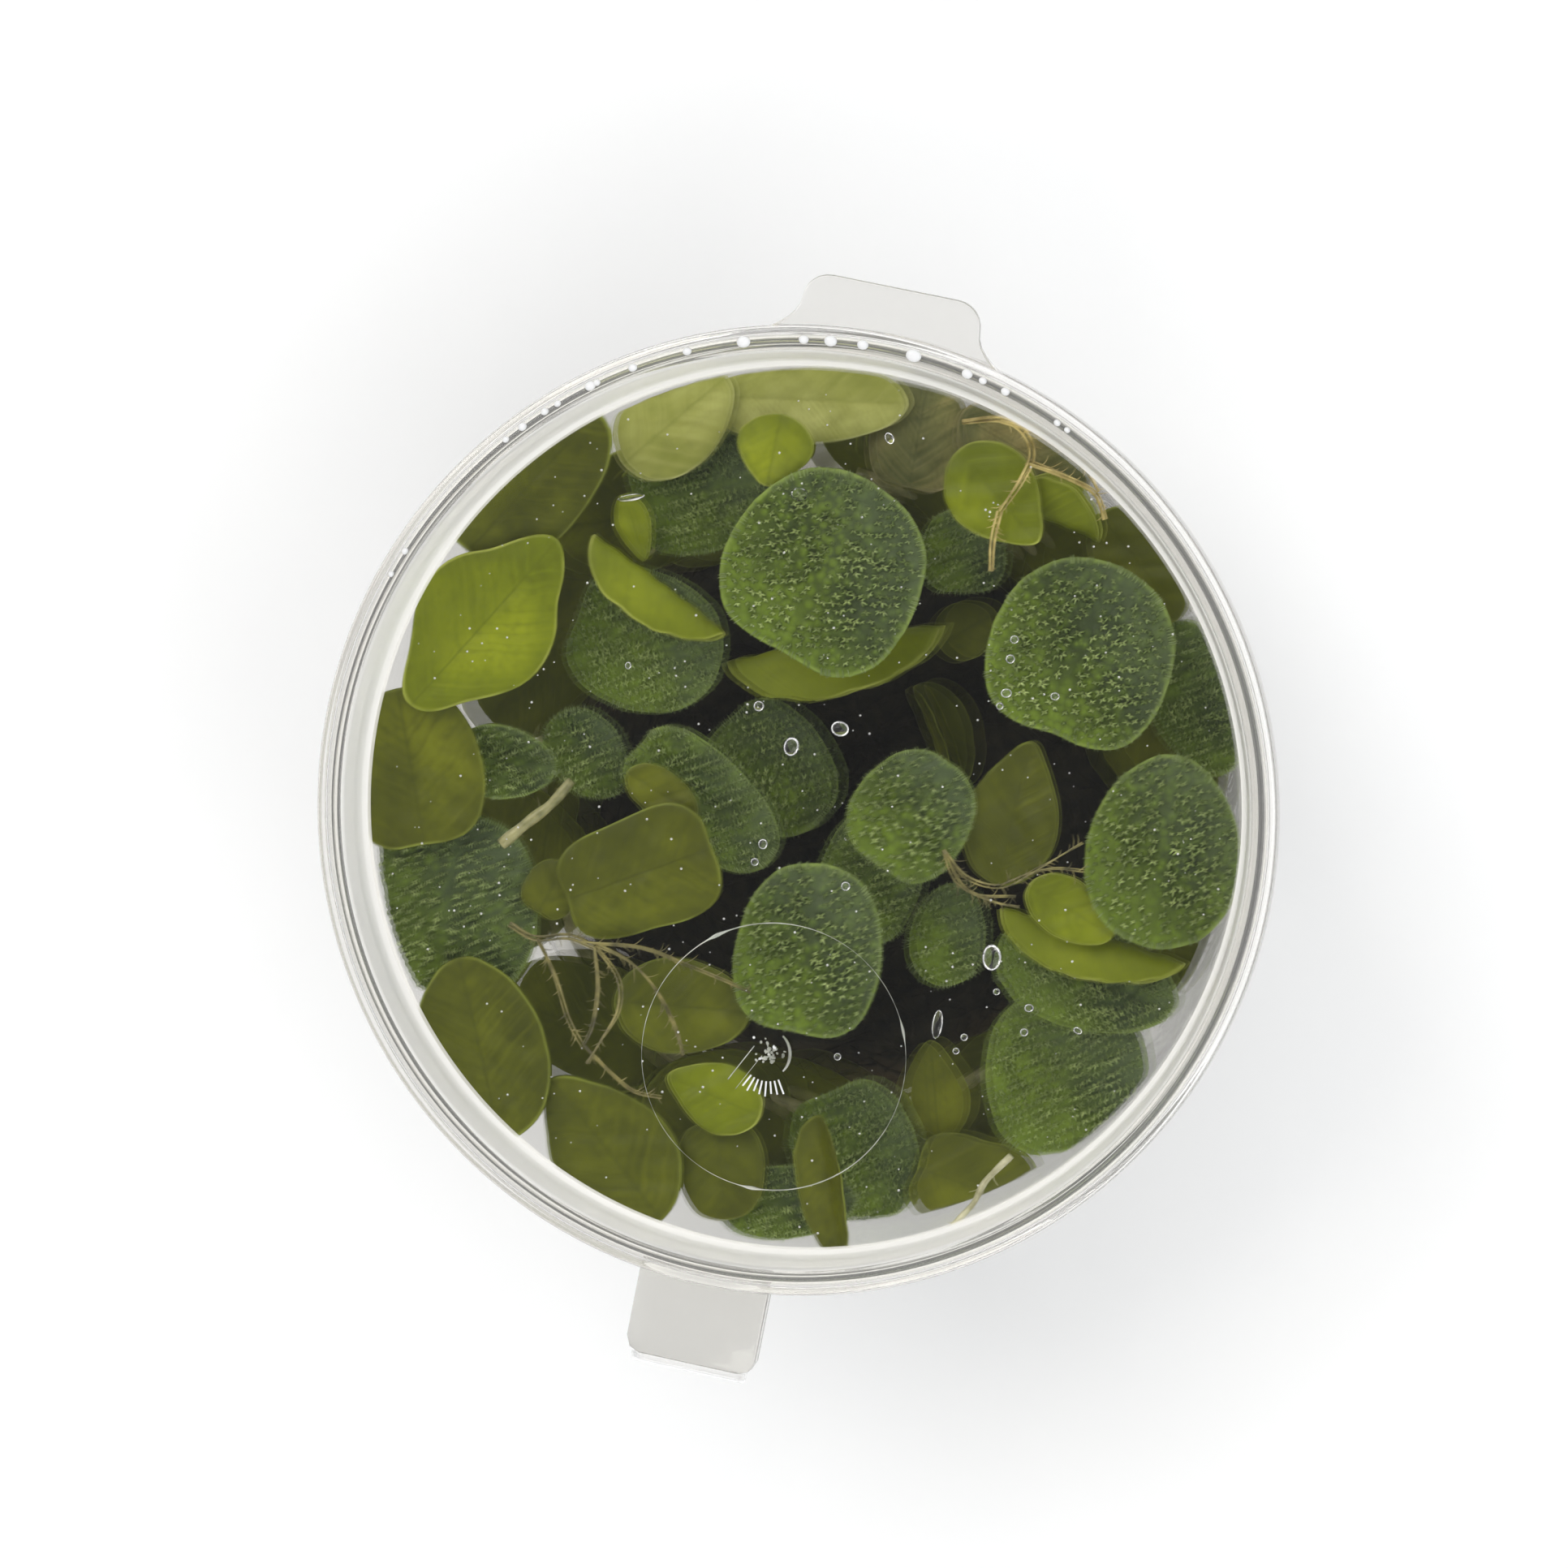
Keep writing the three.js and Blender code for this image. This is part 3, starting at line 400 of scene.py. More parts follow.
# Drops on the rim: pixel, and length along the rim in millimetres
RIM_DROPS = [
    ((990, 430), 0.55), ((1022, 438), 0.7), ((1062, 432), 0.62), ((1122, 452), 0.85), ((1190, 465), 0.6),
    ((1240, 480), 0.5), ((785, 468), 0.5), ((850, 448), 0.5), ((918, 440), 0.75), ((735, 492), 0.6),
    ((748, 499), 0.4), ((662, 552), 0.5), ((684, 528), 0.45), ((700, 520), 0.4), ((642, 566), 0.4),
    ((1208, 476), 0.45), ((1306, 516), 0.4), ((1322, 520), 0.35), ((530, 700), 0.4), ((512, 725), 0.35),
]
RIM_DROP_HEIGHT = 0.24
RIM_DROP_REACH = (PLUG_OUTER + LID_RADIUS) / 2 - 0.15

# Marks of moulding in the panel: a thin ring with flashes of light on it, and the gate mark inside it
MARK_LIFT = 0.01
RING_PIXEL = (953, 1302)
RING_RADIUS = 8.6
RING_POINTS = 181
RING_FLASHES = [(880, 1145), (925, 1467), (1112, 1270)]
FLASH_WIDTH = 0.06
GATE_PIXEL = (947, 1298)
GATE_CRUMBS = 46
GATE_SPREAD = 0.4
CRUMB_SIZES = (0.06, 0.18)
CRESCENT_RADII = (1.25, 1.45)
CRESCENT_POINTS = 14
FAN_BARS = 8
FAN_MIDDLE = -99
FAN_STEP = 8.5
FAN_REACH = (1.8, 2.7)
FAN_GIRTH = 0.065
# Two scratches beside the gate: how far each is shifted to the right and up, and its radius
SCRATCHES = ((0.0, 0.0, 0.04), (0.5, -0.6, 0.02))
SCRATCH_START = (-0.93, 0.47)
SCRATCH_END = (-2.65, -1.7)

# The stage: the floor's half width in millimetres and the colour and strength of the light all round
FLOOR_REACH = 1500
SKY = (0.95, 0.97, 1, 1)
SKY_STRENGTH = 0.45
# Soft lights: place and width in metres, share of the key light's power, and colour
LAMPS = {
    "key": ((-0.76, 0.54, 0.9), 0.9, 1.0, (1, 0.985, 0.96)),
    "fill": ((0.9, -0.18, 0.8), 1.0, 0.75, (0.97, 0.985, 1)),
    "back": ((0.09, 0.99, 0.66), 0.8, 0.4, (1, 1, 1)),
    "front": ((0.14, -0.94, 0.7), 0.9, 0.55, (1, 0.99, 0.97)),
}
LAMP_AIM = Vector((0, 0, 0.02))
SENSOR_WIDTH = 36


def length_setting(name, text, default, low, high):
    """A length that is given here in millimetres and kept in metres."""
    return bpy.props.FloatProperty(
        name=name, description=text, default=default * MM, min=low * MM, max=high * MM,
        subtype="DISTANCE", unit="LENGTH")


def colour_setting(name, text, default):
    return bpy.props.FloatVectorProperty(
        name=name, description=text, default=default, min=0, max=1, size=3, subtype="COLOR")


class PotSettings(bpy.types.PropertyGroup):
    tint: colour_setting("Plastic tint", "Colour that the clear plastic takes on", (0.94, 0.932, 0.91))
    cloud: bpy.props.FloatProperty(
        name="Cloudiness", description="Roughness of the clear plastic",
        default=0.02, min=0, max=0.5, subtype="FACTOR")
    steps: bpy.props.IntProperty(
        name="Round steps", description="Faces around the pot and its lid",
        default=ROUND_STEPS, min=48, max=512)


class FernSettings(bpy.types.PropertyGroup):
    blade: length_setting("Blade thickness", "Thickness of a leaf at its middle", 0.26, 0.1, 0.6)
    hair: length_setting("Hair height", "Height of the tufts of hair on a leaf", 0.4, 0.1, 0.8)
    row: length_setting("Row spacing", "Distance between rows of tufts", 0.64, 0.4, 2)
    tuft: length_setting("Tuft spacing", "Distance between tufts in a row", 0.54, 0.3, 2)
    deep: colour_setting("Deep green", "Darkest green of a hairy leaf", (0.025, 0.044, 0.004))
    fresh: colour_setting("Fresh green", "Lightest green of a hairy leaf", (0.1, 0.152, 0.006))
    lit: colour_setting("Bright green", "Green of the young leaves", LEAF_COLOURS["bright"][1])


class StageSettings(bpy.types.PropertyGroup):
    floor: colour_setting("Floor", "Colour of the floor", (0.97, 0.97, 0.97))
    key: bpy.props.FloatProperty(
        name="Key light", description="Power of the main soft light in watts", default=7.7, min=0, max=200)


def settings(name):
    """One of the groups of settings, by its name on the scene."""
    return getattr(bpy.context.scene, name)


# Places and shapes


def plan_from_photo(pixel, z):
    """The place in the plan of what a pixel of the photograph shows at height z."""
    right = (pixel[0] - PHOTO_MIDDLE[0]) / PHOTO_SCALE
    up = (PHOTO_MIDDLE[1] - pixel[1]) / PHOTO_SCALE
    through = RIM_MIDDLE + PHOTO_RIGHT * right + PHOTO_UP * up
    place = VIEW_POINT.lerp(through, (z - VIEW_POINT.z) / (through.z - VIEW_POINT.z))
    return np.array([place.x, place.y])


def pot_radius_at(z):
    """The inner radius of the pot's wall at a height."""
    (foot_radius, foot_z), (head_radius, head_z) = WALL_FOOT, WALL_HEAD
    share = np.clip((np.asarray(z) - foot_z) / (head_z - foot_z), 0, 1)
    return foot_radius + (head_radius - foot_radius) * share


def pressed_inside_pot(points):
    """The same points, with those that would reach into the wall moved straight inwards."""
    room = pot_radius_at(points[:, 2]) - WALL_CLEARANCE
    radius = np.hypot(points[:, 0], points[:, 1])
    shrink = np.minimum(1, room / np.maximum(radius, 1e-6))
    pressed = points.copy()
    pressed[:, :2] *= shrink[:, None]
    return pressed


def turned(points, axis, angle):
    turn = np.array(Matrix.Rotation(angle, 3, axis))
    return points @ turn.T


def varied(seed):
    """A value from -1 to 1 that looks random and is the same each run."""
    wave = math.sin(seed * 12.9898 + 4.1) * 43758.5453
    return 2 * (wave - math.floor(wave)) - 1


def node_middle(name):
    """The middle of a node's box, in millimetres."""
    low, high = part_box(name)
    return (np.array(low) + np.array(high)) / (2 * MM)


def new_piece(name, points, faces, materials, slots=None, maps=None):
    """A mesh object from points in millimetres, with its materials and its maps of two values a point."""
    mesh = bpy.data.meshes.new(name)
    mesh.from_pydata((np.asarray(points) * MM).tolist(), [], faces)
    for material in materials:
        mesh.materials.append(material)
    if slots is not None:
        mesh.polygons.foreach_set("material_index", slots)
    mesh.polygons.foreach_set("use_smooth", [True] * len(mesh.polygons))
    corners = np.empty(len(mesh.loops), dtype=np.int64)
    mesh.loops.foreach_get("vertex_index", corners)
    for key, values in (maps or {}).items():
        layer = mesh.uv_layers.new(name=key)
        layer.uv.foreach_set("vector", np.asarray(values, dtype=np.float32)[corners].ravel())
    mesh.validate()
    piece = bpy.data.objects.new(name, mesh)
    bpy.context.collection.objects.link(piece)
    return piece


def placed(piece, body, slot, *nodes):
    """The piece on its body and in place of the nodes that it shows. The slot is not used."""
    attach(piece, body)
    if nodes:
        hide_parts(*nodes)
    return piece


def revolved(profile, steps):
    """A turned shell from a closed profile of radius and height, from axis to axis."""
    profile = np.array(profile)
    angles = np.linspace(0, 2 * math.pi, steps, endpoint=False)
    inner = profile[1:-1]
    count = len(inner)
    points = [[0, 0, profile[0][1]], [0, 0, profile[-1][1]]]
    for angle in angles:
        points.extend([radius * math.cos(angle), radius * math.sin(angle), z] for radius, z in inner)
    faces = []
    for step in range(steps):
        here = 2 + step * count
        there = 2 + ((step + 1) % steps) * count
        faces.append((0, here, there))
        faces.append((1, there + count - 1, here + count - 1))
        for i in range(count - 1):
            faces.append((here + i, here + i + 1, there + i + 1, there + i))
    return np.array(points), faces


def rounded(points, radius):
    """The same line of points with each inner corner rounded."""
    points = [np.array(p, dtype=float) for p in points]
    line = [points[0]]
    for before, corner, after in zip(points, points[1:], points[2:]):
        way_in, way_out = before - corner, after - corner
        reach = min(radius, np.linalg.norm(way_in) / 2.2, np.linalg.norm(way_out) / 2.2)
        start = corner + way_in / np.linalg.norm(way_in) * reach
        end = corner + way_out / np.linalg.norm(way_out) * reach
        for i in range(ROUND_PARTS + 1):
            t = i / ROUND_PARTS
            line.append((1 - t) ** 2 * start + 2 * t * (1 - t) * corner + t ** 2 * end)
    line.append(points[-1])
    return line


def smooth_line(points, step):
    """A smooth line through the points, sampled about every step."""
    points = np.array(points, dtype=float)
    ends = np.vstack([2 * points[0] - points[1], points, 2 * points[-1] - points[-2]])
    line = []
    for a, b, c, d in zip(ends, ends[1:], ends[2:], ends[3:]):
        count = max(2, int(np.linalg.norm(c - b) / step))
        for i in range(count):
            t = i / count
            line.append(0.5 * (2 * b + (c - a) * t + (2 * a - 5 * b + 4 * c - d) * t ** 2
                               + (3 * b - a - 3 * c + d) * t ** 3))
    line.append(points[-1])
    return np.array(line)


def ring_faces(rows, columns, start=0):
    """Faces that join each closed ring of points to the next one."""
    faces = []
    for here in range(start, start + (rows - 1) * columns, columns):
        for j in range(columns):
            k = (j + 1) % columns
            faces.append((here + j, here + k, here + columns + k, here + columns + j))
    return faces


def closed_ring_faces(rows, columns):
    """The same, with the first and the last ring filled."""
    first, last = range(columns), range((rows - 1) * columns, rows * columns)
    return ring_faces(rows, columns) + [tuple(reversed(first)), tuple(last)]


def directions_along(line, pole):
    """At each point of a line: the way ahead, the way to one side and the way up from both."""
    ahead = np.gradient(line, axis=0)
    ahead /= np.maximum(np.linalg.norm(ahead, axis=1), 1e-9)[:, None]
    side = np.cross(ahead, pole)
    side /= np.maximum(np.linalg.norm(side, axis=1), 1e-6)[:, None]
    return ahead, side, np.cross(side, ahead)


def tube(line, radii, sides):
    """Points and faces of a closed tube along a line."""
    line = np.asarray(line)
    radii = np.broadcast_to(radii, len(line))
    _, side, up = directions_along(line, TUBE_POLE)
    angles = np.arange(sides) * 2 * math.pi / sides
    ring = side[:, None] * np.cos(angles)[None, :, None] + up[:, None] * np.sin(angles)[None, :, None]
    points = (line[:, None] + ring * radii[:, None, None]).reshape(-1, 3)
    return points, closed_ring_faces(len(line), sides)


class Heap:
    """Gathers points, faces, material numbers and maps of many shapes into one mesh."""

    def __init__(self):
        self.points, self.faces, self.slots, self.maps = [], [], [], {}
        self.count = 0

    def add(self, points, faces, slot=0, **maps):
        start = self.count
        self.points.append(np.asarray(points))
        self.faces.extend(tuple(int(corner) + start for corner in face) for face in faces)
        self.slots.extend([slot] * len(faces))
        for key, values in maps.items():
            self.maps.setdefault(key, []).append(np.asarray(values))
        self.count += len(points)

    def piece(self, name, materials):
        maps = {key: np.vstack(values) for key, values in self.maps.items()}
        return new_piece(name, np.vstack(self.points), self.faces, materials, self.slots, maps)


# Leaf shapes


def leaf_surface(form, along, across):
    """Points of a leaf's middle sheet, folded about its rib, bowed, cupped and a little wavy."""
    fold = math.radians(form["fold"])
    arc = FOLD_ROUND * fold
    reach = np.abs(across)
    side, rise = reach, np.zeros_like(reach)
    if fold > 0:
        turn = np.minimum(reach, arc) / FOLD_ROUND
        rest = np.maximum(reach - arc, 0)
        side = FOLD_ROUND * np.sin(turn) + rest * math.cos(fold)
        rise = FOLD_ROUND * (1 - np.cos(turn)) + rest * math.sin(fold)
    lengthwise = 2 * along / form["long"]
    crosswise = 2 * across / form["wide"]
    rise = rise + form["bow"] * lengthwise ** 2 + form["cup"] * (lengthwise ** 2 + crosswise ** 2)
    seed = form["seed"]
    wave = 0.07 * np.sin(along * 1.5 + seed) * np.sin(across * 1.7 + 2 * seed)
    wave = wave + 0.05 * np.sin(along * 3.1 - across * 2.3 + 3 * seed)
    return np.stack([along, side * np.sign(across), rise + wave], axis=-1)


def leaf_outline(form, angle):
    """How far along and across a leaf its edge is at an angle from its middle."""
    square, egg, notch = OUTLINES[form["outline"]]
    seed = form["seed"]
    bulge = 1 + square * np.sin(2 * angle) ** 2 * 0.5
    dent = 1 - notch * np.maximum(0, -np.cos(angle)) ** 8
    edge = 1 + 0.005 * np.sin(5 * angle + seed) + 0.004 * np.sin(11 * angle + 2 * seed) - 0.005
    along = form["long"] / 2 * np.cos(angle) * bulge * dent * edge
    across = form["wide"] / 2 * np.sin(angle) * bulge * (1 - egg * np.cos(angle)) * edge
    return along, across


def leaf_normal(form, along, across):
    step = NORMAL_STEP
    lengthwise = leaf_surface(form, along + step, across) - leaf_surface(form, along - step, across)
    crosswise = leaf_surface(form, along, across + step) - leaf_surface(form, along, across - step)
    normal = np.cross(lengthwise, crosswise)
    return normal / np.linalg.norm(normal, axis=-1, keepdims=True)


def blade_grid(form, thick, sectors=BLADE_SECTORS, shares=BLADE_SHARES):
    """Upper and lower faces of a leaf's blade, with its place map and its form map."""
    shares = np.array(shares)
    angles = np.arange(sectors) * 2 * math.pi / sectors
    edge_along, edge_across = leaf_outline(form, angles)
    along = shares[:, None] * edge_along[None]
    across = shares[:, None] * edge_across[None]
    middle = leaf_surface(form, along, across)
    normal = leaf_normal(form, along, across)
    depth = thick / 2 * np.sqrt(1 - shares ** 6)[:, None, None]
    sunk = form.get("sunk", 0)
    rib = RIB_DEPTH * np.exp(-(across / RIB_WIDTH) ** 2) * (1 - shares[:, None] ** 4)
    upper = middle + normal * (depth - sunk - rib[..., None])
    lower = middle - normal * (depth + sunk + rib[..., None])
    rings = len(shares)
    points = np.vstack([upper.reshape(-1, 3), lower[:-1].reshape(-1, 3)])
    offset = form["seed"] * 3.7
    place = np.stack([along / PLACE_SIZE + offset, across / PLACE_SIZE + offset * 0.6], axis=-1)
    form_map = np.stack([np.broadcast_to(shares[:, None], along.shape), across / FORM_SIZE + 0.5], axis=-1)
    place = np.vstack([place.reshape(-1, 2), place[:-1].reshape(-1, 2)])
    form_map = np.vstack([form_map.reshape(-1, 2), form_map[:-1].reshape(-1, 2)])
    top = [ring * sectors for ring in range(rings)]
    under = [rings * sectors + ring * sectors for ring in range(rings - 1)] + [top[-1]]
    faces = []
    for ring in range(rings - 1):
        for j in range(sectors):
            k = (j + 1) % sectors
            a, b = top[ring], top[ring + 1]
            c, d = under[ring], under[ring + 1]
            if ring == 0:
                faces.append((a, b + j, b + k))
                faces.append((c, d + k, d + j))
            else:
                faces.append((a + j, b + j, b + k, a + k))
                faces.append((c + j, c + k, d + k, d + j))
    return points, faces, place, form_map


def tuft_shape():
    """One tuft of hair in unit size: bent strands that meet at the top."""
    points, faces = [], []
    for strand in range(TUFT_STRANDS):
        angle = strand * 2 * math.pi / TUFT_STRANDS + TUFT_TURN
        way = np.array([math.cos(angle), math.sin(angle), 0])
        side = np.array([-math.sin(angle), math.cos(angle), 0])
        faces += ring_faces(len(TUFT_STRAND), 3, len(points))
        for reach, height, thick in TUFT_STRAND:
            middle = way * reach + np.array([0, 0, height])
            points.extend([middle + side * thick, middle - side * thick, middle + way * thick])
    return np.array(points), np.array(faces)


def tufts(form, fern):
    """Points and faces of the tufts of hair in slanting rows on a leaf's upper face."""
    row, gap, height = fern.row / MM, fern.tuft / MM, fern.hair / MM
    shape, tuft_faces = tuft_shape()
    places = []
    for side in (-1, 1):
        first = -form["long"] / 2 - form["wide"]
        for number in range(int((form["long"] + form["wide"]) / row) + 2):
            base = first + number * row
            for step in range(1, int(form["wide"] / gap)):
                reach = step * gap + TUFT_JITTER * varied(number * 31 + step)
                shift = ROW_JITTER * varied(number * 17 + step * 3 + 5)
                places.append((base + shift + reach * math.cos(ROW_SLANT),
                               side * reach * math.sin(ROW_SLANT)))
    places = np.array(places)
    angle = np.arctan2(places[:, 1] / form["wide"], places[:, 0] / form["long"])
    edge_along, edge_across = leaf_outline(form, angle)
    share = np.hypot(places[:, 0], places[:, 1]) / np.maximum(np.hypot(edge_along, edge_across), 1e-6)
    places, share = places[share < TUFT_EDGE], share[share < TUFT_EDGE]
    along, across = places[:, 0], places[:, 1]
    rng = np.random.default_rng(int(form["seed"] * 100) + 7)
    kept = rng.random(len(along)) > TUFT_MISSING
    along, across, share = along[kept], across[kept], share[kept]
    middle = leaf_surface(form, along, across)
    normal = leaf_normal(form, along, across)
    lean = rng.normal(0, TUFT_LEAN_SPREAD, (len(along), 3))
    lean[:, 0] += TUFT_LEAN
    up = normal + lean
    up /= np.linalg.norm(up, axis=1)[:, None]
    twist = rng.normal(0.6, 0.5, len(along))
    first = np.cross(up, np.stack([np.cos(twist), np.sin(twist), 0 * twist], axis=-1))
    first /= np.linalg.norm(first, axis=1)[:, None]
    second = np.cross(up, first)
    size = height * (0.6 + 0.6 * rng.random(len(along))) * (1 - 0.45 * share ** 4)
    spread = size * TUFT_SPREAD
    points = (middle - normal * TUFT_INSET)[:, None] + (
        first[:, None] * shape[None, :, :1] * spread[:, None, None] * TUFT_STRETCH
        + second[:, None] * shape[None, :, 1:2] * spread[:, None, None]
        + up[:, None] * shape[None, :, 2:] * size[:, None, None])
    faces = (tuft_faces[None] + (np.arange(len(along)) * len(shape))[:, None, None]).reshape(-1, 4)
    place = np.repeat(np.stack([along, across], axis=-1) / PLACE_SIZE, len(shape), axis=0)
    tip = np.tile(np.stack([shape[:, 2], shape[:, 2]], axis=-1), (len(along), 1))
    return points.reshape(-1, 3), faces, place, tip


def add_edge_hairs(heap, form):
    """Short pale hairs that stand out all round a leaf's edge."""
    rng = np.random.default_rng(int(form["seed"] * 100) + 3)
    for angle in rng.uniform(0, 2 * math.pi, EDGE_HAIRS):
        rim = np.array(leaf_outline(form, angle))
        foot, edge = (leaf_surface(form, *(rim * share)) for share in EDGE_HAIR_ROOTS)
        out = (edge - foot) / np.linalg.norm(edge - foot)
        tip = edge + out * rng.uniform(*EDGE_HAIR_REACH) + np.array([0, 0, rng.uniform(*EDGE_HAIR_RISE)])
        tip = tip + np.array([-out[1], out[0], 0]) * rng.uniform(*EDGE_HAIR_SWAY)
        points, faces = tube([foot, edge, tip], EDGE_HAIR_RADII, 3)
        shade = np.full((len(points), 2), EDGE_HAIR_SHADE)
        heap.add(laid_out(points, form), faces, 1, place=points[:, :2] / PLACE_SIZE, form=shade)


def laid_out(points, form):
    """A leaf's points turned to the way that it lies in the photograph."""
    points = turned(points, "X", math.radians(form["roll"]))
    points = turned(points, "Y", math.radians(-form["pitch"]))
    return turned(points, "Z", math.radians(form["aim"]) + PHOTO_TURN)


def glow_side(points, form):
    """How far each point lies towards the upper right of its leaf, from 0 to 1; it places the painted sheen
    and the painted lit side.
    """
    reach = (points[:, 0] + points[:, 1]) / math.sqrt(2)
    return np.clip(0.5 + reach / (form["long"] + form["wide"]) * 2, 0, 1)


def build_leaf(number, form, materials):
    fern = settings("watermoss_fern")
    node = "leaf_" + form["name"]
    form = dict(form, seed=number * 1.37 + 0.5)
    hairy = form["finish"] == "hairy"
    form["sunk"] = HAIRY_SUNK if hairy else 0.0
    heap = Heap()
    points, faces, place, form_map = blade_grid(form, fern.blade / MM)
    heap.add(laid_out(points, form), faces, 0, place=place, form=form_map)
    if hairy:
        heap.maps["form"][0][:, 1] = glow_side(heap.points[0], form)
        points, faces, place, tip = tufts(form, fern)
        points = laid_out(points, form)
        tip[:, 1] = glow_side(points, form)
        heap.add(points, faces, 1, place=place, form=tip)
        add_edge_hairs(heap, form)
    low_box, high_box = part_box(node)
    blade = heap.points[0]
    height = (low_box[2] + high_box[2]) / (2 * MM) - (blade[:, 2].min() + blade[:, 2].max()) / 2
    plan = plan_from_photo(form["pixel"], height)
    shift = np.array([plan[0], plan[1], height])
    heap.points = [pressed_inside_pot(part + shift) for part in heap.points]
    piece = heap.piece(node + "_blade", materials)
    return placed(piece, "pot", form["finish"] + "_leaf", node)


# Materials


class Nodes:
    """A short way to write a material's nodes. Plain materials named after the slots that are already there
    are taken over."""

    def __init__(self, name):
        self.material = bpy.data.materials.get(name) or bpy.data.materials.new(name)
        self.material.use_nodes = True
        self.tree = self.material.node_tree
        self.shader = self.tree.nodes["Principled BSDF"]
        self.output = self.tree.nodes["Material Output"]

    def add(self, kind, **values):
        node = self.tree.nodes.new(kind)
        for key, value in values.items():
            if key in node.inputs:
                self.put(node.inputs[key], value)
            else:
                setattr(node, key, value)
        return node

    def put(self, socket, value):
        if isinstance(value, bpy.types.NodeSocket):
            self.tree.links.new(value, socket)
        else:
            socket.default_value = value

    def set(self, **values):
        for key, value in values.items():
            self.put(self.shader.inputs[key.replace("_", " ")], value)

    def map(self, key):
        return self.add("ShaderNodeUVMap", uv_map=key).outputs["UV"]

    def where(self):
        return self.add("ShaderNodeTexCoord").outputs["Object"]

    def noise(self, vector, scale, detail, rough=0.5):
        node = self.add("ShaderNodeTexNoise", Vector=vector, Scale=scale, Detail=detail, Roughness=rough)
        return node.outputs["Fac"]

    def ramp(self, value, *stops):
        node = self.add("ShaderNodeValToRGB", Fac=value)
        elements = node.color_ramp.elements
        while len(elements) < len(stops):
            elements.new(1)
        for element, (position, colour) in zip(elements, stops):
            element.position = position
            if not isinstance(colour, tuple):
                colour = (colour, colour, colour)
            element.color = (*colour[:3], 1)
        return node.outputs["Color"]

    def mix(self, factor, first, second):
        node = self.add("ShaderNodeMix", data_type="RGBA")
        self.put(node.inputs[0], factor)
        for socket, value in ((node.inputs[6], first), (node.inputs[7], second)):
            self.put(socket, (*value, 1) if isinstance(value, tuple) else value)
        return node.outputs[2]

    def maths(self, operation, first, second=0.5):
        node = self.add("ShaderNodeMath", operation=operation)
        self.put(node.inputs[0], first)
        self.put(node.inputs[1], second)
        return node.outputs[0]

    def bump(self, height, strength, distance, under=None):
        node = self.add("ShaderNodeBump", Height=height, Strength=strength, Distance=distance)
        if under is not None:
            self.put(node.inputs["Normal"], under)
        return node.outputs["Normal"]

    def part(self, vector, axis):
        return self.add("ShaderNodeSeparateXYZ", Vector=vector).outputs[axis]


def times(colour, share):
    """A colour made darker or lighter."""
    return tuple(share * c for c in colour)


def sheen_share(n, place, form):
    """How much painted sheen is laid on for the soft light the hairs throw back: more of it towards the
    upper right, in patches.
    """
    patches = n.maths("MULTIPLY", n.noise(place, 2.1, 2), 0.8)
    both = n.maths("ADD", patches, n.part(form, "Y"))
    return n.ramp(n.maths("MULTIPLY", both, 0.5), (0.42, 0.0), (0.63, 0.5))


def hairy_material(fern):
    n = Nodes("hairy_leaf")
    place, form = n.map("place"), n.map("form")
    deep, fresh = tuple(fern.deep), tuple(fern.fresh)
    middle = tuple(0.5 * a + 0.5 * b for a, b in zip(deep, fresh))
    base = n.ramp(n.noise(place, 3.4, 3), (0.34, deep), (0.5, middle), (0.68, fresh))
    jitter = n.add("ShaderNodeTexVoronoi", Vector=place, Scale=34.0, Randomness=0.9).outputs["Distance"]
    base = n.mix(n.ramp(jitter, (0.1, 0.55), (0.34, 0.0)), base, GRAIN)
    # Painted shade: the hollows between the grains are darkened
    shaded_pits = n.ramp(jitter, (0.42, 0.0), (0.66, 0.7))
    base = n.mix(shaded_pits, base, times(deep, 0.4))
    # Painted light: brighter green on the lower left side of the leaf
    base = n.mix(n.ramp(n.part(form, "Y"), (0.15, 0.5), (0.55, 0.0)), base, LIT_SIDE)
    # Painted sheen towards the upper right of the leaf
    base = n.mix(sheen_share(n, place, form), base, PAINTED_SHEEN)
    rim = n.maths("MULTIPLY", n.ramp(n.part(form, "X"), (0.945, 0.0), (0.985, 1.0)), n.noise(place, 6, 2))
    base = n.mix(rim, base, HAIRY_EDGE)
    n.set(Base_Color=base, Roughness=0.55, Specular_IOR_Level=0.25,
          Normal=n.bump(n.maths("MULTIPLY", jitter, -1.0), 0.8, 0.0002))
    return n.material


def tuft_material():
    n = Nodes("leaf_hair")
    place, form = n.map("place"), n.map("form")
    # Painted shade at the foot of each hair and painted light at its tip, over the hairs' own pale green
    colour = n.ramp(n.part(form, "X"), (0.0, SHADED_HAIR_FOOT), (0.5, HAIR_MIDDLE), (1.0, LIT_HAIR_TIP))
    patch = n.ramp(n.noise(place, 3.4, 3), (0.36, 0.55), (0.62, 0.0))
    colour = n.mix(patch, colour, HAIR_PATCH)
    colour = n.mix(sheen_share(n, place, form), colour, times(PAINTED_SHEEN, 1.5))
    dull = n.ramp(n.noise(place, 24, 2), (0.38, 0.6), (0.56, 0.0))
    colour = n.mix(dull, colour, HAIR_DULL)
    n.set(Base_Color=colour, Roughness=0.45, Coat_Weight=0.2, Coat_Roughness=0.15)
    return n.material


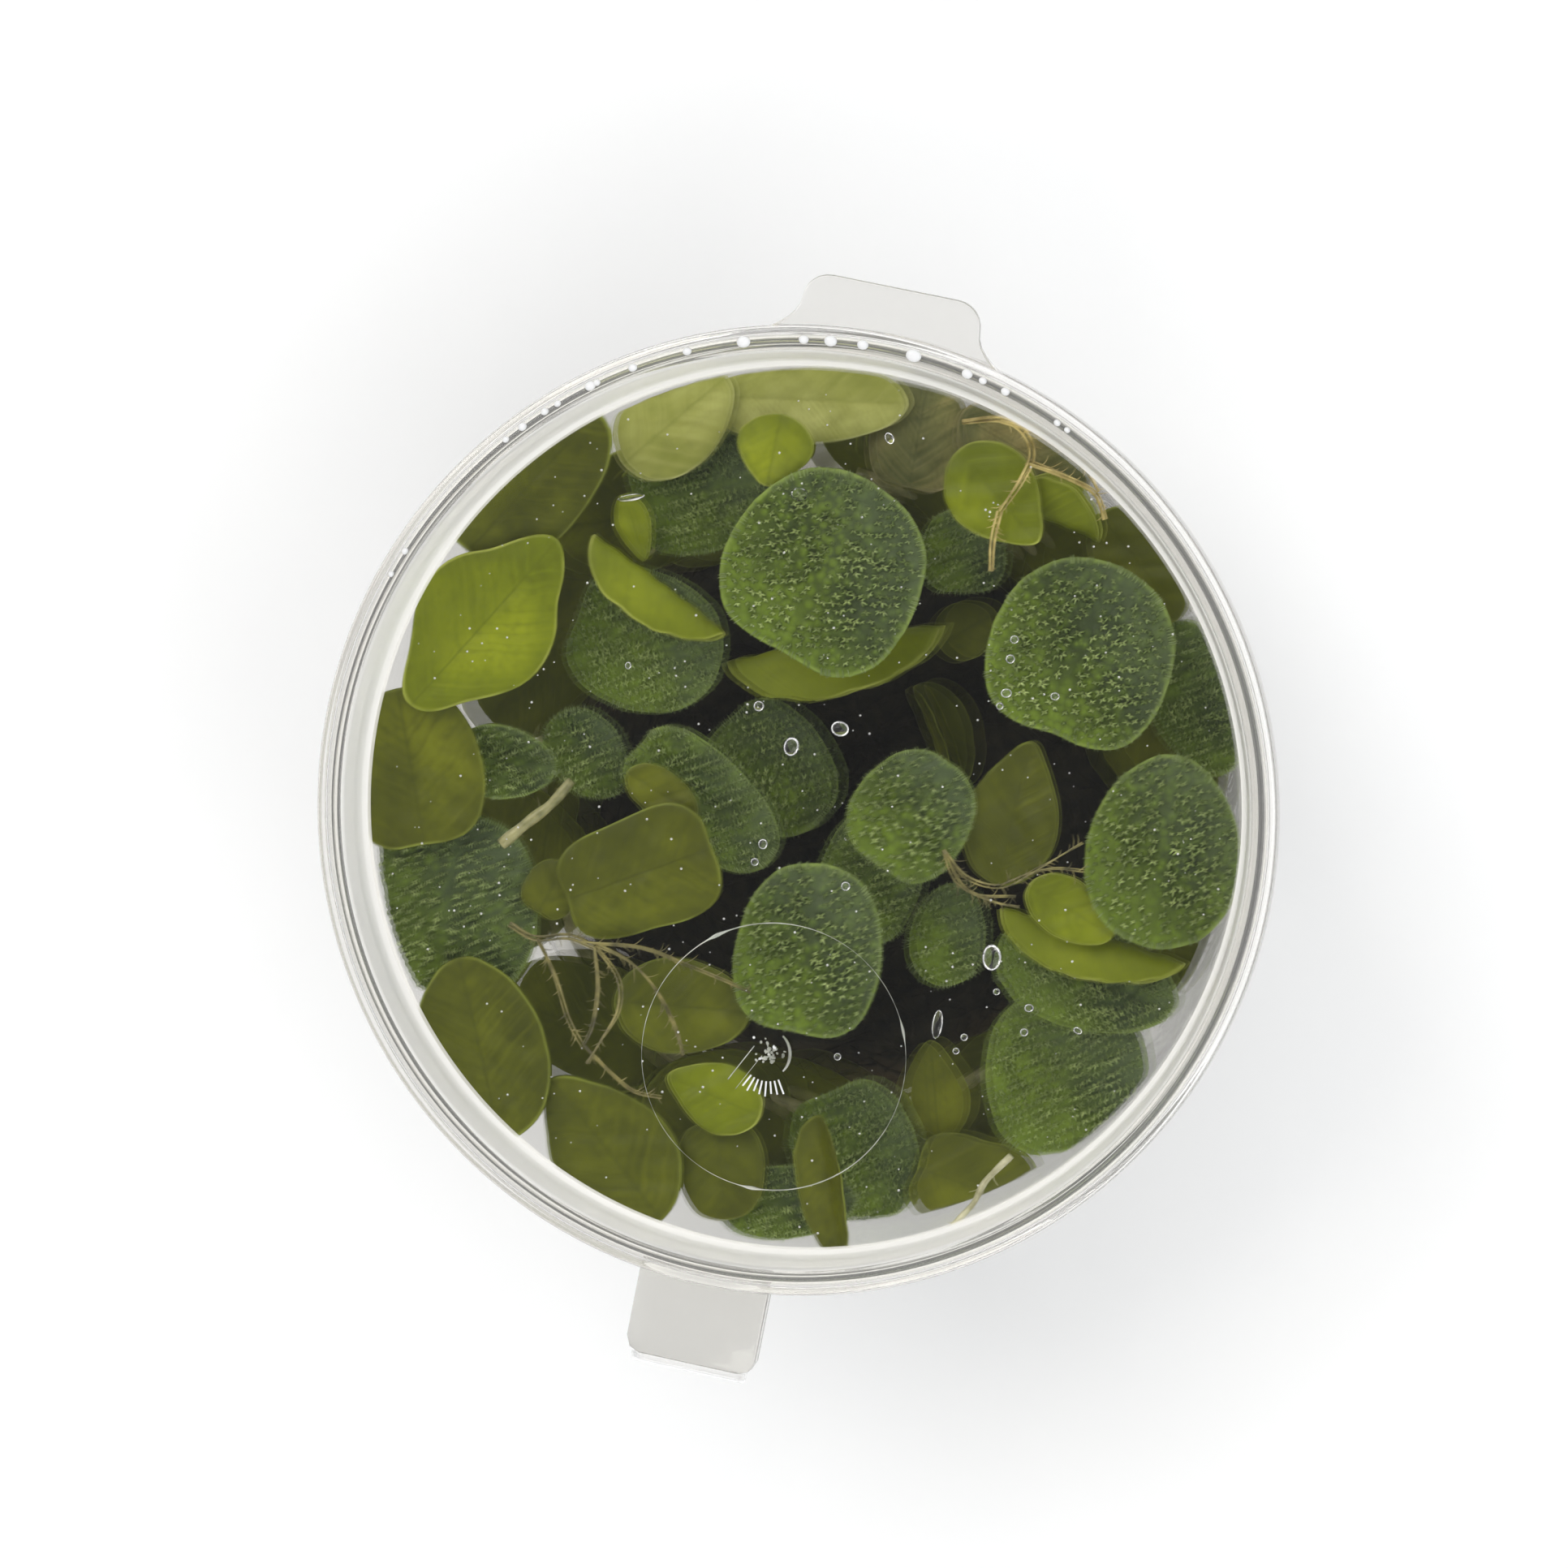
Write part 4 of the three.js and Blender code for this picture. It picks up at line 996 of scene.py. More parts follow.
def smooth_material(name, dark, middle, light, edge, net_strength):
    """A leaf with its smooth side up: blotches, a net of veins, side veins, a rib and a paler edge, with
    painted shade on one half and towards the edge.
    """
    n = Nodes(name)
    place, form = n.map("place"), n.map("form")
    base = n.ramp(n.noise(place, 2.6, 4, 0.6), (0.34, dark), (0.5, middle), (0.7, light))
    bend = n.add("ShaderNodeTexNoise", Vector=place, Scale=5.0, Detail=2.0)
    scaled = n.add("ShaderNodeVectorMath", operation="SCALE", Scale=0.09)
    n.put(scaled.inputs[0], bend.outputs["Color"])
    warped = n.add("ShaderNodeVectorMath", operation="ADD")
    n.put(warped.inputs[0], place)
    n.put(warped.inputs[1], scaled.outputs[0])
    cells = n.add("ShaderNodeTexVoronoi", feature="DISTANCE_TO_EDGE", Vector=warped.outputs[0], Scale=15.0)
    net = n.ramp(cells.outputs["Distance"], (0.0, 1.0), (0.07, 0.0))
    base = n.mix(n.maths("MULTIPLY", net, net_strength), base, times(dark, 0.5))
    fleck = n.ramp(n.noise(place, 22, 4, 0.65), (0.48, 0.0), (0.72, 0.35))
    base = n.mix(fleck, base, times(dark, 0.6))
    off = n.maths("ABSOLUTE", n.maths("SUBTRACT", n.part(form, "Y"), 0.5))
    slant = n.maths("SUBTRACT", n.maths("MULTIPLY", n.part(place, "X"), PLACE_SIZE),
                    n.maths("MULTIPLY", off, 8.4))
    wander = n.maths("MULTIPLY", n.noise(place, 5, 2), 1.6)
    veins = n.noise(n.add("ShaderNodeCombineXYZ", X=n.maths("ADD", slant, wander)).outputs[0], 1.9, 2)
    base = n.mix(n.ramp(veins, (0.5, 0.0), (0.66, 0.25)), base, light)
    base = n.mix(n.ramp(veins, (0.34, 0.3), (0.48, 0.0)), base, dark)
    # Painted shade: one half of the blade, from the rib across, and its outer part towards the edge are
    # darkened
    shaded_half = n.ramp(n.part(form, "Y"), (0.44, 0.0), (0.54, 0.3))
    base = n.mix(shaded_half, base, dark)
    base = n.mix(n.ramp(n.part(form, "X"), (0.7, 0.0), (0.93, 0.35)), base, dark)
    rib = n.ramp(off, (0.003, 0.5), (0.012, 0.0))
    base = n.mix(rib, base, times(dark, 0.9))
    rim = n.ramp(n.part(form, "X"), (0.955, 0.0), (0.985, 1.0))
    rim = n.maths("MULTIPLY", rim, n.ramp(n.noise(place, 5, 2), (0.35, 0.1), (0.65, 0.9)))
    base = n.mix(rim, base, edge)
    rough = n.bump(n.noise(place, 9, 3), 0.5, 0.0002)
    n.set(Base_Color=base, Roughness=0.45, Specular_IOR_Level=0.2, Normal=n.bump(veins, 0.4, 0.0001, rough))
    return n.material


def root_material(name, dark, light, wet=0.3, foot=None):
    """Wet root fibre. The foot colour is painted light: it lightens the lowest roots, where light comes
    through the wall.
    """
    n = Nodes(name)
    where = n.where()
    colour = n.ramp(n.noise(where, 900, 3), (0.35, dark), (0.68, light))
    if foot:
        level = n.maths("ADD", n.maths("MULTIPLY", n.part(where, "Z"), 100), n.noise(where, 250, 3))
        colour = n.mix(n.ramp(n.maths("MULTIPLY", level, 0.5), (0.35, 1.0), (0.6, 0.0)), colour, foot)
    n.set(Base_Color=colour, Roughness=0.75 - wet, Coat_Weight=wet, Coat_Roughness=0.2,
          Specular_IOR_Level=min(0.5, wet * 2),
          Normal=n.bump(n.noise(where, 3500, 2), 0.5, 0.00006))
    return n.material


def let_light_through(n, tint):
    """Lamps shine through the clear shader instead of being stopped by it."""
    path = n.add("ShaderNodeLightPath")
    clear = n.add("ShaderNodeBsdfTransparent", Color=(*tint, 1))
    blend = n.add("ShaderNodeMixShader")
    n.put(blend.inputs[0], path.outputs["Is Shadow Ray"])
    n.put(blend.inputs[1], n.shader.outputs[0])
    n.put(blend.inputs[2], clear.outputs[0])
    n.put(n.output.inputs["Surface"], blend.outputs[0])


def plastic_material(name):
    """One of the finishes of the clear plastic."""
    pot = settings("watermoss_pot")
    milk, shade, wave = PLASTICS[name]
    n = Nodes(name)
    faint = n.noise(n.where(), 160, 1)
    n.set(Base_Color=(*times(pot.tint, shade), 1), Roughness=pot.cloud + milk / 3, IOR=PLASTIC_IOR,
          Transmission_Weight=1.0 - milk, Specular_IOR_Level=0.14, Normal=n.bump(faint, wave, 0.0002))
    let_light_through(n, times(pot.tint, 0.96))
    return n.material


def water_material():
    n = Nodes("water_drop")
    n.set(Base_Color=(1, 1, 1, 1), Roughness=0.0, IOR=WATER_IOR, Transmission_Weight=1.0)
    let_light_through(n, (0.98, 0.98, 0.98))
    return n.material


def painted_glint_material(name, clear):
    """Painted highlight: milky white that stands for the glitter of tiny bubbles, of drops on the rim and
    of the fan and some crumbs of the gate mark.
    """
    n = Nodes(name)
    n.set(Base_Color=(1, 1, 1, 1), Roughness=0.15, IOR=WATER_IOR, Transmission_Weight=clear)
    return n.material


def ridge_material():
    n = Nodes("plastic_ridge")
    tone = n.ramp(n.noise(n.where(), 500, 2), (0.4, (0.45, 0.46, 0.4)), (0.65, (0.78, 0.78, 0.72)))
    n.set(Base_Color=tone, Roughness=0.3, IOR=PLASTIC_IOR, Transmission_Weight=0.7)
    let_light_through(n, (0.8, 0.82, 0.8))
    return n.material


# Operators


def turned_body(name, outline, corner, finish):
    """A shell turned about the pot's axis, of as many steps as the settings say."""
    points, faces = revolved(rounded(outline, corner), settings("watermoss_pot").steps)
    return new_piece(name, points, [face[::-1] for face in faces], [plastic_material(finish)])


class WATERMOSS_OT_pot(bpy.types.Operator):
    """Makes the pot: its wall, flange and half of the hinge strap"""
    bl_idname = "watermoss.pot"
    bl_label = "Pot"

    def execute(self, context):
        body = turned_body("pot_wall", POT_OUTLINE, POT_ROUND, "pot_plastic")
        join_solids(body, strap_piece("pot_strap", FLANGE_UNDER))
        dress_rings(body, POT_RINGS)
        placed(body, "pot", "clear_plastic", "pot")
        return {"FINISHED"}


def strap_piece(name, bottom):
    """Half of the hinge strap, with its outer corners cut."""
    half, end = STRAP_WIDTH / 2, STRAP_END_Y
    right = [(half - 1.0, end), (half - 0.3, end + 0.3), (half, end + 1.0), (half, STRAP_ROOT_Y)]
    left = [(-x, y) for x, y in reversed(right)]
    return plate_piece(name, left + right, bottom, FLANGE_THICK)


def plate_piece(name, outline, bottom, thick):
    """A flat plate with a small round along its edges."""
    mesh = bpy.data.meshes.new(name)
    shape = bmesh.new()
    ring = [shape.verts.new((x * MM, y * MM, bottom * MM)) for x, y in outline]
    face = shape.faces.new(ring)
    lifted = bmesh.ops.extrude_face_region(shape, geom=[face])
    moved = [item for item in lifted["geom"] if isinstance(item, bmesh.types.BMVert)]
    bmesh.ops.translate(shape, verts=moved, vec=(0, 0, thick * MM))
    bmesh.ops.recalc_face_normals(shape, faces=shape.faces)
    level = [edge for edge in shape.edges if abs(edge.verts[0].co.z - edge.verts[1].co.z) < 1e-7]
    bmesh.ops.bevel(shape, geom=level, offset=PLATE_ROUND * MM, segments=3, affect="EDGES", profile=0.5)
    shape.to_mesh(mesh)
    shape.free()
    piece = bpy.data.objects.new(name, mesh)
    bpy.context.collection.objects.link(piece)
    return piece


def join_solids(body, *others):
    """Joins solids that overlap into the first one, and rounds its shading except at sharp edges."""
    for other in others:
        joint = body.modifiers.new("join", "BOOLEAN")
        joint.operation = "UNION"
        joint.solver = "EXACT"
        joint.object = other
        bpy.context.view_layer.update()
        graph = bpy.context.evaluated_depsgraph_get()
        joined = bpy.data.meshes.new_from_object(body.evaluated_get(graph))
        body.modifiers.clear()
        old = body.data
        body.data = joined
        bpy.data.meshes.remove(old)
        bpy.data.objects.remove(other)
    mesh = body.data
    if not mesh.materials:
        raise RuntimeError("the joined piece has no material")
    shape = bmesh.new()
    shape.from_mesh(mesh)
    bmesh.ops.remove_doubles(shape, verts=shape.verts, dist=1e-7)
    for edge in shape.edges:
        sharp = len(edge.link_faces) != 2 or edge.calc_face_angle(0) > SHARP_EDGE
        edge.smooth = not sharp
    for face in shape.faces:
        face.smooth = True
        face.material_index = 0
    shape.to_mesh(mesh)
    shape.free()


def dress_rings(body, rings):
    """Gives each ring of faces its own plastic, and the hinge strap the one that both halves share."""
    mesh = body.data
    for name in (*rings, "strap_plastic"):
        mesh.materials.append(plastic_material(name))
    for face in mesh.polygons:
        for number, radius in enumerate(rings.values(), 1):
            if math.hypot(face.center.x, face.center.y) > radius * MM:
                face.material_index = number
        if face.center.y < STRAP_FROM_Y * MM:
            face.material_index = len(rings) + 1


class WATERMOSS_OT_lid(bpy.types.Operator):
    """Makes the lid: its rolled rim, sunk panel, opening tab and half of the hinge strap"""
    bl_idname = "watermoss.lid"
    bl_label = "Lid"

    def execute(self, context):
        body = turned_body("lid_cap", LID_OUTLINE, LID_ROUND, "clear_plastic")
        join_solids(body, strap_piece("lid_strap", SKIRT_BOTTOM), tab_piece())
        dress_rings(body, LID_RINGS)
        placed(body, "lid", "clear_plastic", "lid")
        return {"FINISHED"}


def tab_piece():
    """The opening tab: curved sides from its wide root, two round corners and a root along the rim."""
    half, root_half = TAB_WIDTH / 2, TAB_ROOT_WIDTH / 2
    root_radius = LID_RADIUS - WALL / 2
    root_angle = math.asin(root_half / root_radius)
    root_y = root_radius * math.cos(root_angle)
    outline = []
    for i in range(7):
        t = i / 6
        x = -root_half * (1 - t) ** 2 - half * 2 * t * (1 - t) - half * t ** 2
        y = root_y * (1 - t) ** 2 + (LID_RADIUS - 0.2) * 2 * t * (1 - t) + (TAB_REACH - TAB_CORNER) * t ** 2
        outline.append((x, y))
    for i in range(1, 7):
        angle = math.pi - i * math.pi / 12
        outline.append((-half + TAB_CORNER + TAB_CORNER * math.cos(angle),
                        TAB_REACH - TAB_CORNER + TAB_CORNER * math.sin(angle)))
    outline += [(-x, y) for x, y in reversed(outline)]
    for i in range(1, 12):
        angle = math.pi / 2 - root_angle + 2 * root_angle * i / 12
        outline.append((root_radius * math.cos(angle), root_radius * math.sin(angle)))
    return plate_piece("lid_tab", outline, LID_TOP - TAB_DROP - TAB_THICK, TAB_THICK)


class WATERMOSS_OT_hinge_web(bpy.types.Operator):
    """Makes the thin web of plastic that joins the two halves of the strap"""
    bl_idname = "watermoss.hinge_web"
    bl_label = "Hinge web"

    def execute(self, context):
        half = STRAP_WIDTH / 2 - WEB_INSET
        reach, lap_y = WEB_REACH, STRAP_END_Y + WEB_LAP
        arc = [math.pi * i / WEB_PARTS - math.pi / 2 for i in range(WEB_PARTS + 1)]
        outer = [(lap_y, HINGE_Z - reach - WEB_LAP)]
        outer += [(HINGE_Y - reach * math.cos(a), HINGE_Z + reach * math.sin(a)) for a in arc]
        outer += [(lap_y, HINGE_Z + reach + WEB_LAP)]
        line = np.array([(0.0, y, z) for y, z in outer])
        inward = np.array([0.0, STRAP_END_Y, HINGE_Z]) - line
        inward /= np.linalg.norm(inward, axis=1)[:, None]
        section = np.vstack([line, (line + inward * WEB_THICK)[::-1]])
        rows = [section + [x, 0, 0] for x in np.linspace(-half, half, WEB_ROWS)]
        faces = closed_ring_faces(WEB_ROWS, len(section))
        web = new_piece("hinge_web", np.vstack(rows), faces, [plastic_material("clear_plastic")])
        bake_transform(web)
        return {"FINISHED"}


class WATERMOSS_OT_leaves(bpy.types.Operator):
    """Makes the leaves that lie under the lid, the hairy ones with rows of tufts"""
    bl_idname = "watermoss.leaves"
    bl_label = "Leaves"

    def execute(self, context):
        fern = settings("watermoss_fern")
        skins = {"hairy": [hairy_material(fern), tuft_material()]}
        for finish, (dark, middle, light, edge) in LEAF_COLOURS.items():
            if finish == "bright":
                middle = tuple(fern.lit)
            skin = smooth_material(finish + "_leaf", dark, middle, light, edge, VEIN_NET[finish])
            skins[finish] = [skin]
        for number, form in enumerate(LEAVES):
            build_leaf(number, form, skins[form["finish"]])
        return {"FINISHED"}


def bundle(heap, line, radius, rng, strands, hairs):
    """A root: a few thin strands that wander along a line, with short side hairs."""
    line = np.asarray(line)
    length = np.linalg.norm(np.diff(line, axis=0), axis=1).sum()
    along = np.linspace(0, 1, len(line))
    ahead, side, up = directions_along(line, (0, 0, 1.0))
    fine = radius * 0.3
    for strand in range(strands):
        phase = rng.random() * 2 * math.pi + 2 * math.pi * strand / strands
        twist = rng.uniform(0.5, 1.4) * length / 3
        reach = (radius - fine) * (0.6 + 0.4 * rng.random())
        angle = phase + twist * along
        path = line + (side * np.cos(angle)[:, None] + up * np.sin(angle)[:, None] * 0.9) * reach
        heap.add(*tube(path, fine * (1 - 0.35 * along), 5))
    for hair in range(int(hairs * length)):
        at = rng.integers(1, len(line) - 1)
        way = side[at] * rng.choice([-1, 1]) * rng.uniform(0.5, 1) + ahead[at] * rng.uniform(0.2, 0.9)
        way = way + up[at] * rng.uniform(-0.25, 0.05)
        size = rng.uniform(0.3, 0.95)
        end = line[at] + way * size
        bend = line[at] + way * size * 0.5 + ahead[at] * 0.1 * size
        path = smooth_line([line[at], bend, end], size / 5)
        heap.add(*tube(path, np.linspace(*SIDE_HAIR_RADII, len(path)), 3))


class WATERMOSS_OT_roots(bpy.types.Operator):
    """Makes the tangles of roots and the bare stems under the lid"""
    bl_idname = "watermoss.roots"
    bl_label = "Roots and stems"

    def execute(self, context):
        skins = {name: root_material(*skin) for name, skin in ROOT_SKINS.items()}
        tan = root_material(*TAN_SKIN)
        for number, (name, strands) in enumerate(STRANDS.items()):
            rng = np.random.default_rng(40 + number)
            z = node_middle(name)[2]
            heap = Heap()
            for radius, pixels in strands:
                line = smooth_line([(*plan_from_photo(pixel, z), z) for pixel in pixels], 0.35)
                if name.startswith("stem"):
                    steps = np.linspace(0, 1, len(line))
                    girth = radius * (0.92 + 0.08 * np.sin(steps * 17)) * (1 - 0.18 * steps)
                    heap.add(*tube(line, girth, 12))
                    bundle(heap, line, radius * 0.9, rng, 0, STEM_HAIRS)
                else:
                    girth = radius * (GOLDEN_GIRTH if name == "roots_top" else ROOT_GIRTH)
                    bundle(heap, line, girth, rng, ROOT_STRANDS, ROOT_HAIRS)
            piece = heap.piece(name + "_fibres", [skins.get(name, tan)])
            placed(piece, "pot", "root", name)
        return {"FINISHED"}


def stem_point(frond, share):
    """The azimuth, height and radius of a lower frond's stem, from -1 at one end to 1 at the other."""
    height = BRANCH_FOOT + (BRANCH_TOP - BRANCH_FOOT) * abs(share) ** 1.4
    azimuth = FROND_TURN + frond / LOWER_FRONDS * 2 * math.pi + share * BRANCH_SPREAD
    return azimuth, height, float(pot_radius_at(height)) - FROND_FROM_WALL


def branch_leaf(heap, frond, branch, place_number):
    seed = frond * 17 + branch * 7 + place_number
    side = -branch if place_number % 2 == 0 else branch
    share = FIRST_LEAF_SHARE + (LAST_LEAF_SHARE - FIRST_LEAF_SHARE) * place_number / (BRANCH_LEAVES - 1)
    azimuth, height, radius = stem_point(frond, branch * share)
    full_long = LOWER_LEAF_LONG + varied(seed) * 1.1
    full_wide = LOWER_LEAF_WIDE + varied(seed + 50) * 0.9
    form = {
        "long": full_long * LOWER_LEAF_SHARE, "wide": full_wide * LOWER_LEAF_SHARE, "outline": "round",
        "fold": 8 + 6 * varied(seed + 9), "bow": 0, "cup": 0, "seed": seed * 0.7,
    }
    rise = math.radians(30 + 10 * varied(seed + 20))
    points, faces, place, form_map = blade_grid(
        form, LOWER_LEAF_THICK, LOWER_LEAF_SECTORS, LOWER_LEAF_SHARES)
    points = turned(points + [full_long / 2 - 0.6, 0, 0], "Z", rise)
    if side < 0:
        points = turned(points, "Y", math.pi)
    points = turned(points, "X", math.pi / 2 + BRANCH_LEAN)
    points = turned(points, "Z", math.pi / 2 + side * LOWER_LEAF_SPLAY)
    points = turned(points + [radius, 0, height], "Z", azimuth)
    heap.add(pressed_inside_pot(points), faces, 0, place=place, form=form_map)


class WATERMOSS_OT_lower_fronds(bpy.types.Operator):
    """Makes the fronds that lean on the pot's wall below the others"""
    bl_idname = "watermoss.lower_fronds"
    bl_label = "Lower fronds"

    def execute(self, context):
        leaf_skin = bpy.data.materials["smooth_leaf"]
        stem = bpy.data.materials["stem_skin"]
        for frond in range(LOWER_FRONDS):
            heap = Heap()
            corners = []
            for share in (-1, -0.6, -0.2, 0.2, 0.6, 1):
                azimuth, height, radius = stem_point(frond, share)
                corners.append((radius * math.cos(azimuth), radius * math.sin(azimuth), height))
            points, faces = tube(smooth_line(corners, 0.8), STEM_RADIUS, 10)
            blank = np.zeros((len(points), 2))
            heap.add(pressed_inside_pot(points), faces, 1, place=blank, form=blank)
            for branch in (-1, 1):
                for place_number in range(BRANCH_LEAVES):
                    branch_leaf(heap, frond, branch, place_number)
            piece = heap.piece(f"lower_frond_{frond + 1}_leaves", [leaf_skin, stem])
            placed(piece, "pot", "smooth_leaf", f"lower_frond_{frond + 1}")
        return {"FINISHED"}


def tangle_surface(theta, phi, share):
    """A point of the heap of roots: theta round it, phi from the top down, share out from its middle."""
    x, y, z = np.sin(phi) * np.cos(theta), np.sin(phi) * np.sin(theta), np.cos(phi)
    lobes = 1 + 0.03 * np.cos(TANGLE_LOBES * theta) + 0.02 * np.sin(2 * theta + 1)
    low = TANGLE_EDGE + (TANGLE_EDGE - TANGLE_BOTTOM) * np.minimum(z, 0)
    height = low + (TANGLE_TOP - low) * np.maximum(z, 0) ** TANGLE_CROWN
    reach = share * lobes * TANGLE_RADIUS
    return np.stack([x * reach, y * reach, TANGLE_EDGE + (height - TANGLE_EDGE) * share], axis=-1)


def tangle_strand(rng):
    """One fine root that lies on the heap, as a line that curls over its surface."""
    turn = rng.uniform(0, 2 * math.pi)
    down = rng.uniform(0.05, 1.9)
    heading = rng.uniform(0, 2 * math.pi)
    steps = np.linspace(0, 1, TANGLE_STRAND_STEPS)
    way = heading + rng.uniform(-2.5, 2.5) * steps
    stride = rng.uniform(0.25, 0.7) / TANGLE_STRAND_STEPS
    phis = np.clip(down + np.cumsum(np.cos(way)) * stride, 0.02, 2.1)
    thetas = turn + np.cumsum(np.sin(way)) * stride / np.maximum(np.sin(phis), 0.15)
    share = 0.96 + 0.035 * np.sin(steps * rng.uniform(3, 8) + heading)
    return tangle_surface(thetas, phis, share)


class WATERMOSS_OT_root_heap(bpy.types.Operator):
    """Makes the heap of fine roots in the middle of the pot, near black as painted shade and lighter at its
    foot as painted light
    """
    bl_idname = "watermoss.root_heap"
    bl_label = "Heap of roots"

    def execute(self, context):
        dark = root_material(*HEAP_SKIN, HEAP_WET, HEAP_LIT_FOOT_COLOUR)
        rng = np.random.default_rng(11)
        round_it = np.linspace(0, 2 * math.pi, TANGLE_COLUMNS, endpoint=False)
        theta, phi = np.meshgrid(round_it, np.linspace(0.02, 3.12, TANGLE_ROWS))
        lumps = 0.95 + 0.02 * np.sin(9 * theta + 4 * phi) + 0.015 * np.sin(17 * theta - 11 * phi)
        core = tangle_surface(theta, phi, lumps)
        faces = closed_ring_faces(TANGLE_ROWS, TANGLE_COLUMNS)
        heap = Heap()
        heap.add(core.reshape(-1, 3), [face[::-1] for face in faces])
        for strand in range(TANGLE_STRANDS):
            path = tangle_strand(rng)
            heap.add(*tube(path, rng.uniform(*TANGLE_STRAND_RADII), 4))
        piece = heap.piece("root_tangle_fibres", [dark])
        placed(piece, "pot", "dark_root", "root_tangle")
        return {"FINISHED"}


def drop_shape(radii, height, turn, sides=20, rings=7):
    """A flat-based drop: half a ball of two radii, standing up from its base."""
    points, faces = [(0, 0, height)], []
    for ring in range(1, rings + 1):
        phi = ring / rings * math.pi / 2
        for j in range(sides):
            angle = j * 2 * math.pi / sides
            points.append((radii[0] * math.sin(phi) * math.cos(angle),
                           radii[1] * math.sin(phi) * math.sin(angle), height * math.cos(phi)))
    for j in range(sides):
        k = (j + 1) % sides
        faces.append((0, 1 + j, 1 + k))
        for ring in range(rings - 1):
            a, b = 1 + ring * sides, 1 + (ring + 1) * sides
            faces.append((a + j, b + j, b + k, a + k))
    last = 1 + (rings - 1) * sides
    faces.append(tuple(last + j for j in range(sides - 1, -1, -1)))
    return turned(np.array(points), "Z", turn), faces


def hanging(points, x, y):
    """A drop turned upside down and hung under the lid's panel."""
    return points * [1, 1, -1] + [x, y, PANEL_UNDER - DROP_LAP]


class WATERMOSS_OT_water(bpy.types.Operator):
    """Makes the drops under the lid's panel and on its rim"""
    bl_idname = "watermoss.water"
    bl_label = "Drops of water"

    def execute(self, context):
        rng = np.random.default_rng(5)
        heap = Heap()
        for pixel, radii, turn in LID_DROPS:
            points, faces = drop_shape(radii, DROP_HEIGHT * min(radii), -math.radians(turn) + PHOTO_TURN)
            x, y = plan_from_photo(pixel, PANEL_UNDER)
            heap.add(hanging(points, x, y), [face[::-1] for face in faces])
        for speck in range(SPECKS):
            reach, angle = SPECK_REACH * math.sqrt(rng.random()), rng.uniform(0, 2 * math.pi)
            size = rng.uniform(*SPECK_SIZES)
            points, faces = drop_shape((size, size), size * SPECK_HEIGHT, 0, 8, 3)
            points = hanging(points, reach * math.cos(angle), reach * math.sin(angle))
            heap.add(points, [face[::-1] for face in faces], 1)
        for pixel, length in RIM_DROPS:
            x, y = plan_from_photo(pixel, LID_TOP)
            away = math.atan2(y, x)
            radii = (min(length * 0.5, 0.4), length * 0.6)
            points, faces = drop_shape(radii, RIM_DROP_HEIGHT, away, 16, 5)
            place = [RIM_DROP_REACH * math.cos(away), RIM_DROP_REACH * math.sin(away), LID_TOP - MARK_LIFT]
            heap.add(points + place, faces, 2)
        # The specks and the drops on the rim take a painted highlight
        skins = [water_material(), painted_glint_material("tiny_bubbles_painted_glint", 0.55), painted_glint_material("rim_drops_painted_glint", 0.2)]
        placed(heap.piece("water_drops", skins), "lid", "clear_plastic")
        return {"FINISHED"}


def mould_ring():
    """The thin ring in the panel, thicker where it flashes in the photograph."""
    middle = plan_from_photo(RING_PIXEL, PANEL_TOP)
    angles = np.linspace(0, 2 * math.pi, RING_POINTS)
    ways = [plan_from_photo(pixel, PANEL_TOP) - middle for pixel in RING_FLASHES]
    near = np.min([np.abs(np.angle(np.exp(1j * (angles - math.atan2(y, x))))) for x, y in ways], axis=0)
    line = np.stack([middle[0] + RING_RADIUS * np.cos(angles), middle[1] + RING_RADIUS * np.sin(angles),
                     np.full_like(angles, PANEL_TOP + MARK_LIFT)], axis=-1)
    uneven = 0.008 * np.sin(23 * angles) * np.sin(37 * angles + 1)
    flash = 0.09 * np.exp(-(near / FLASH_WIDTH) ** 2)
    return tube(line, 0.016 + 0.026 * np.sin(angles - 0.5) ** 4 + uneven + flash, 6)


def beside_gate(right, up, lift=0.0):
    """A place on the panel, from the gate mark to the right and up in the photograph."""
    gate = np.array([*plan_from_photo(GATE_PIXEL, PANEL_TOP), PANEL_TOP])
    return gate + PLAN_RIGHT * right + PLAN_UP * up + np.array([0, 0, lift])


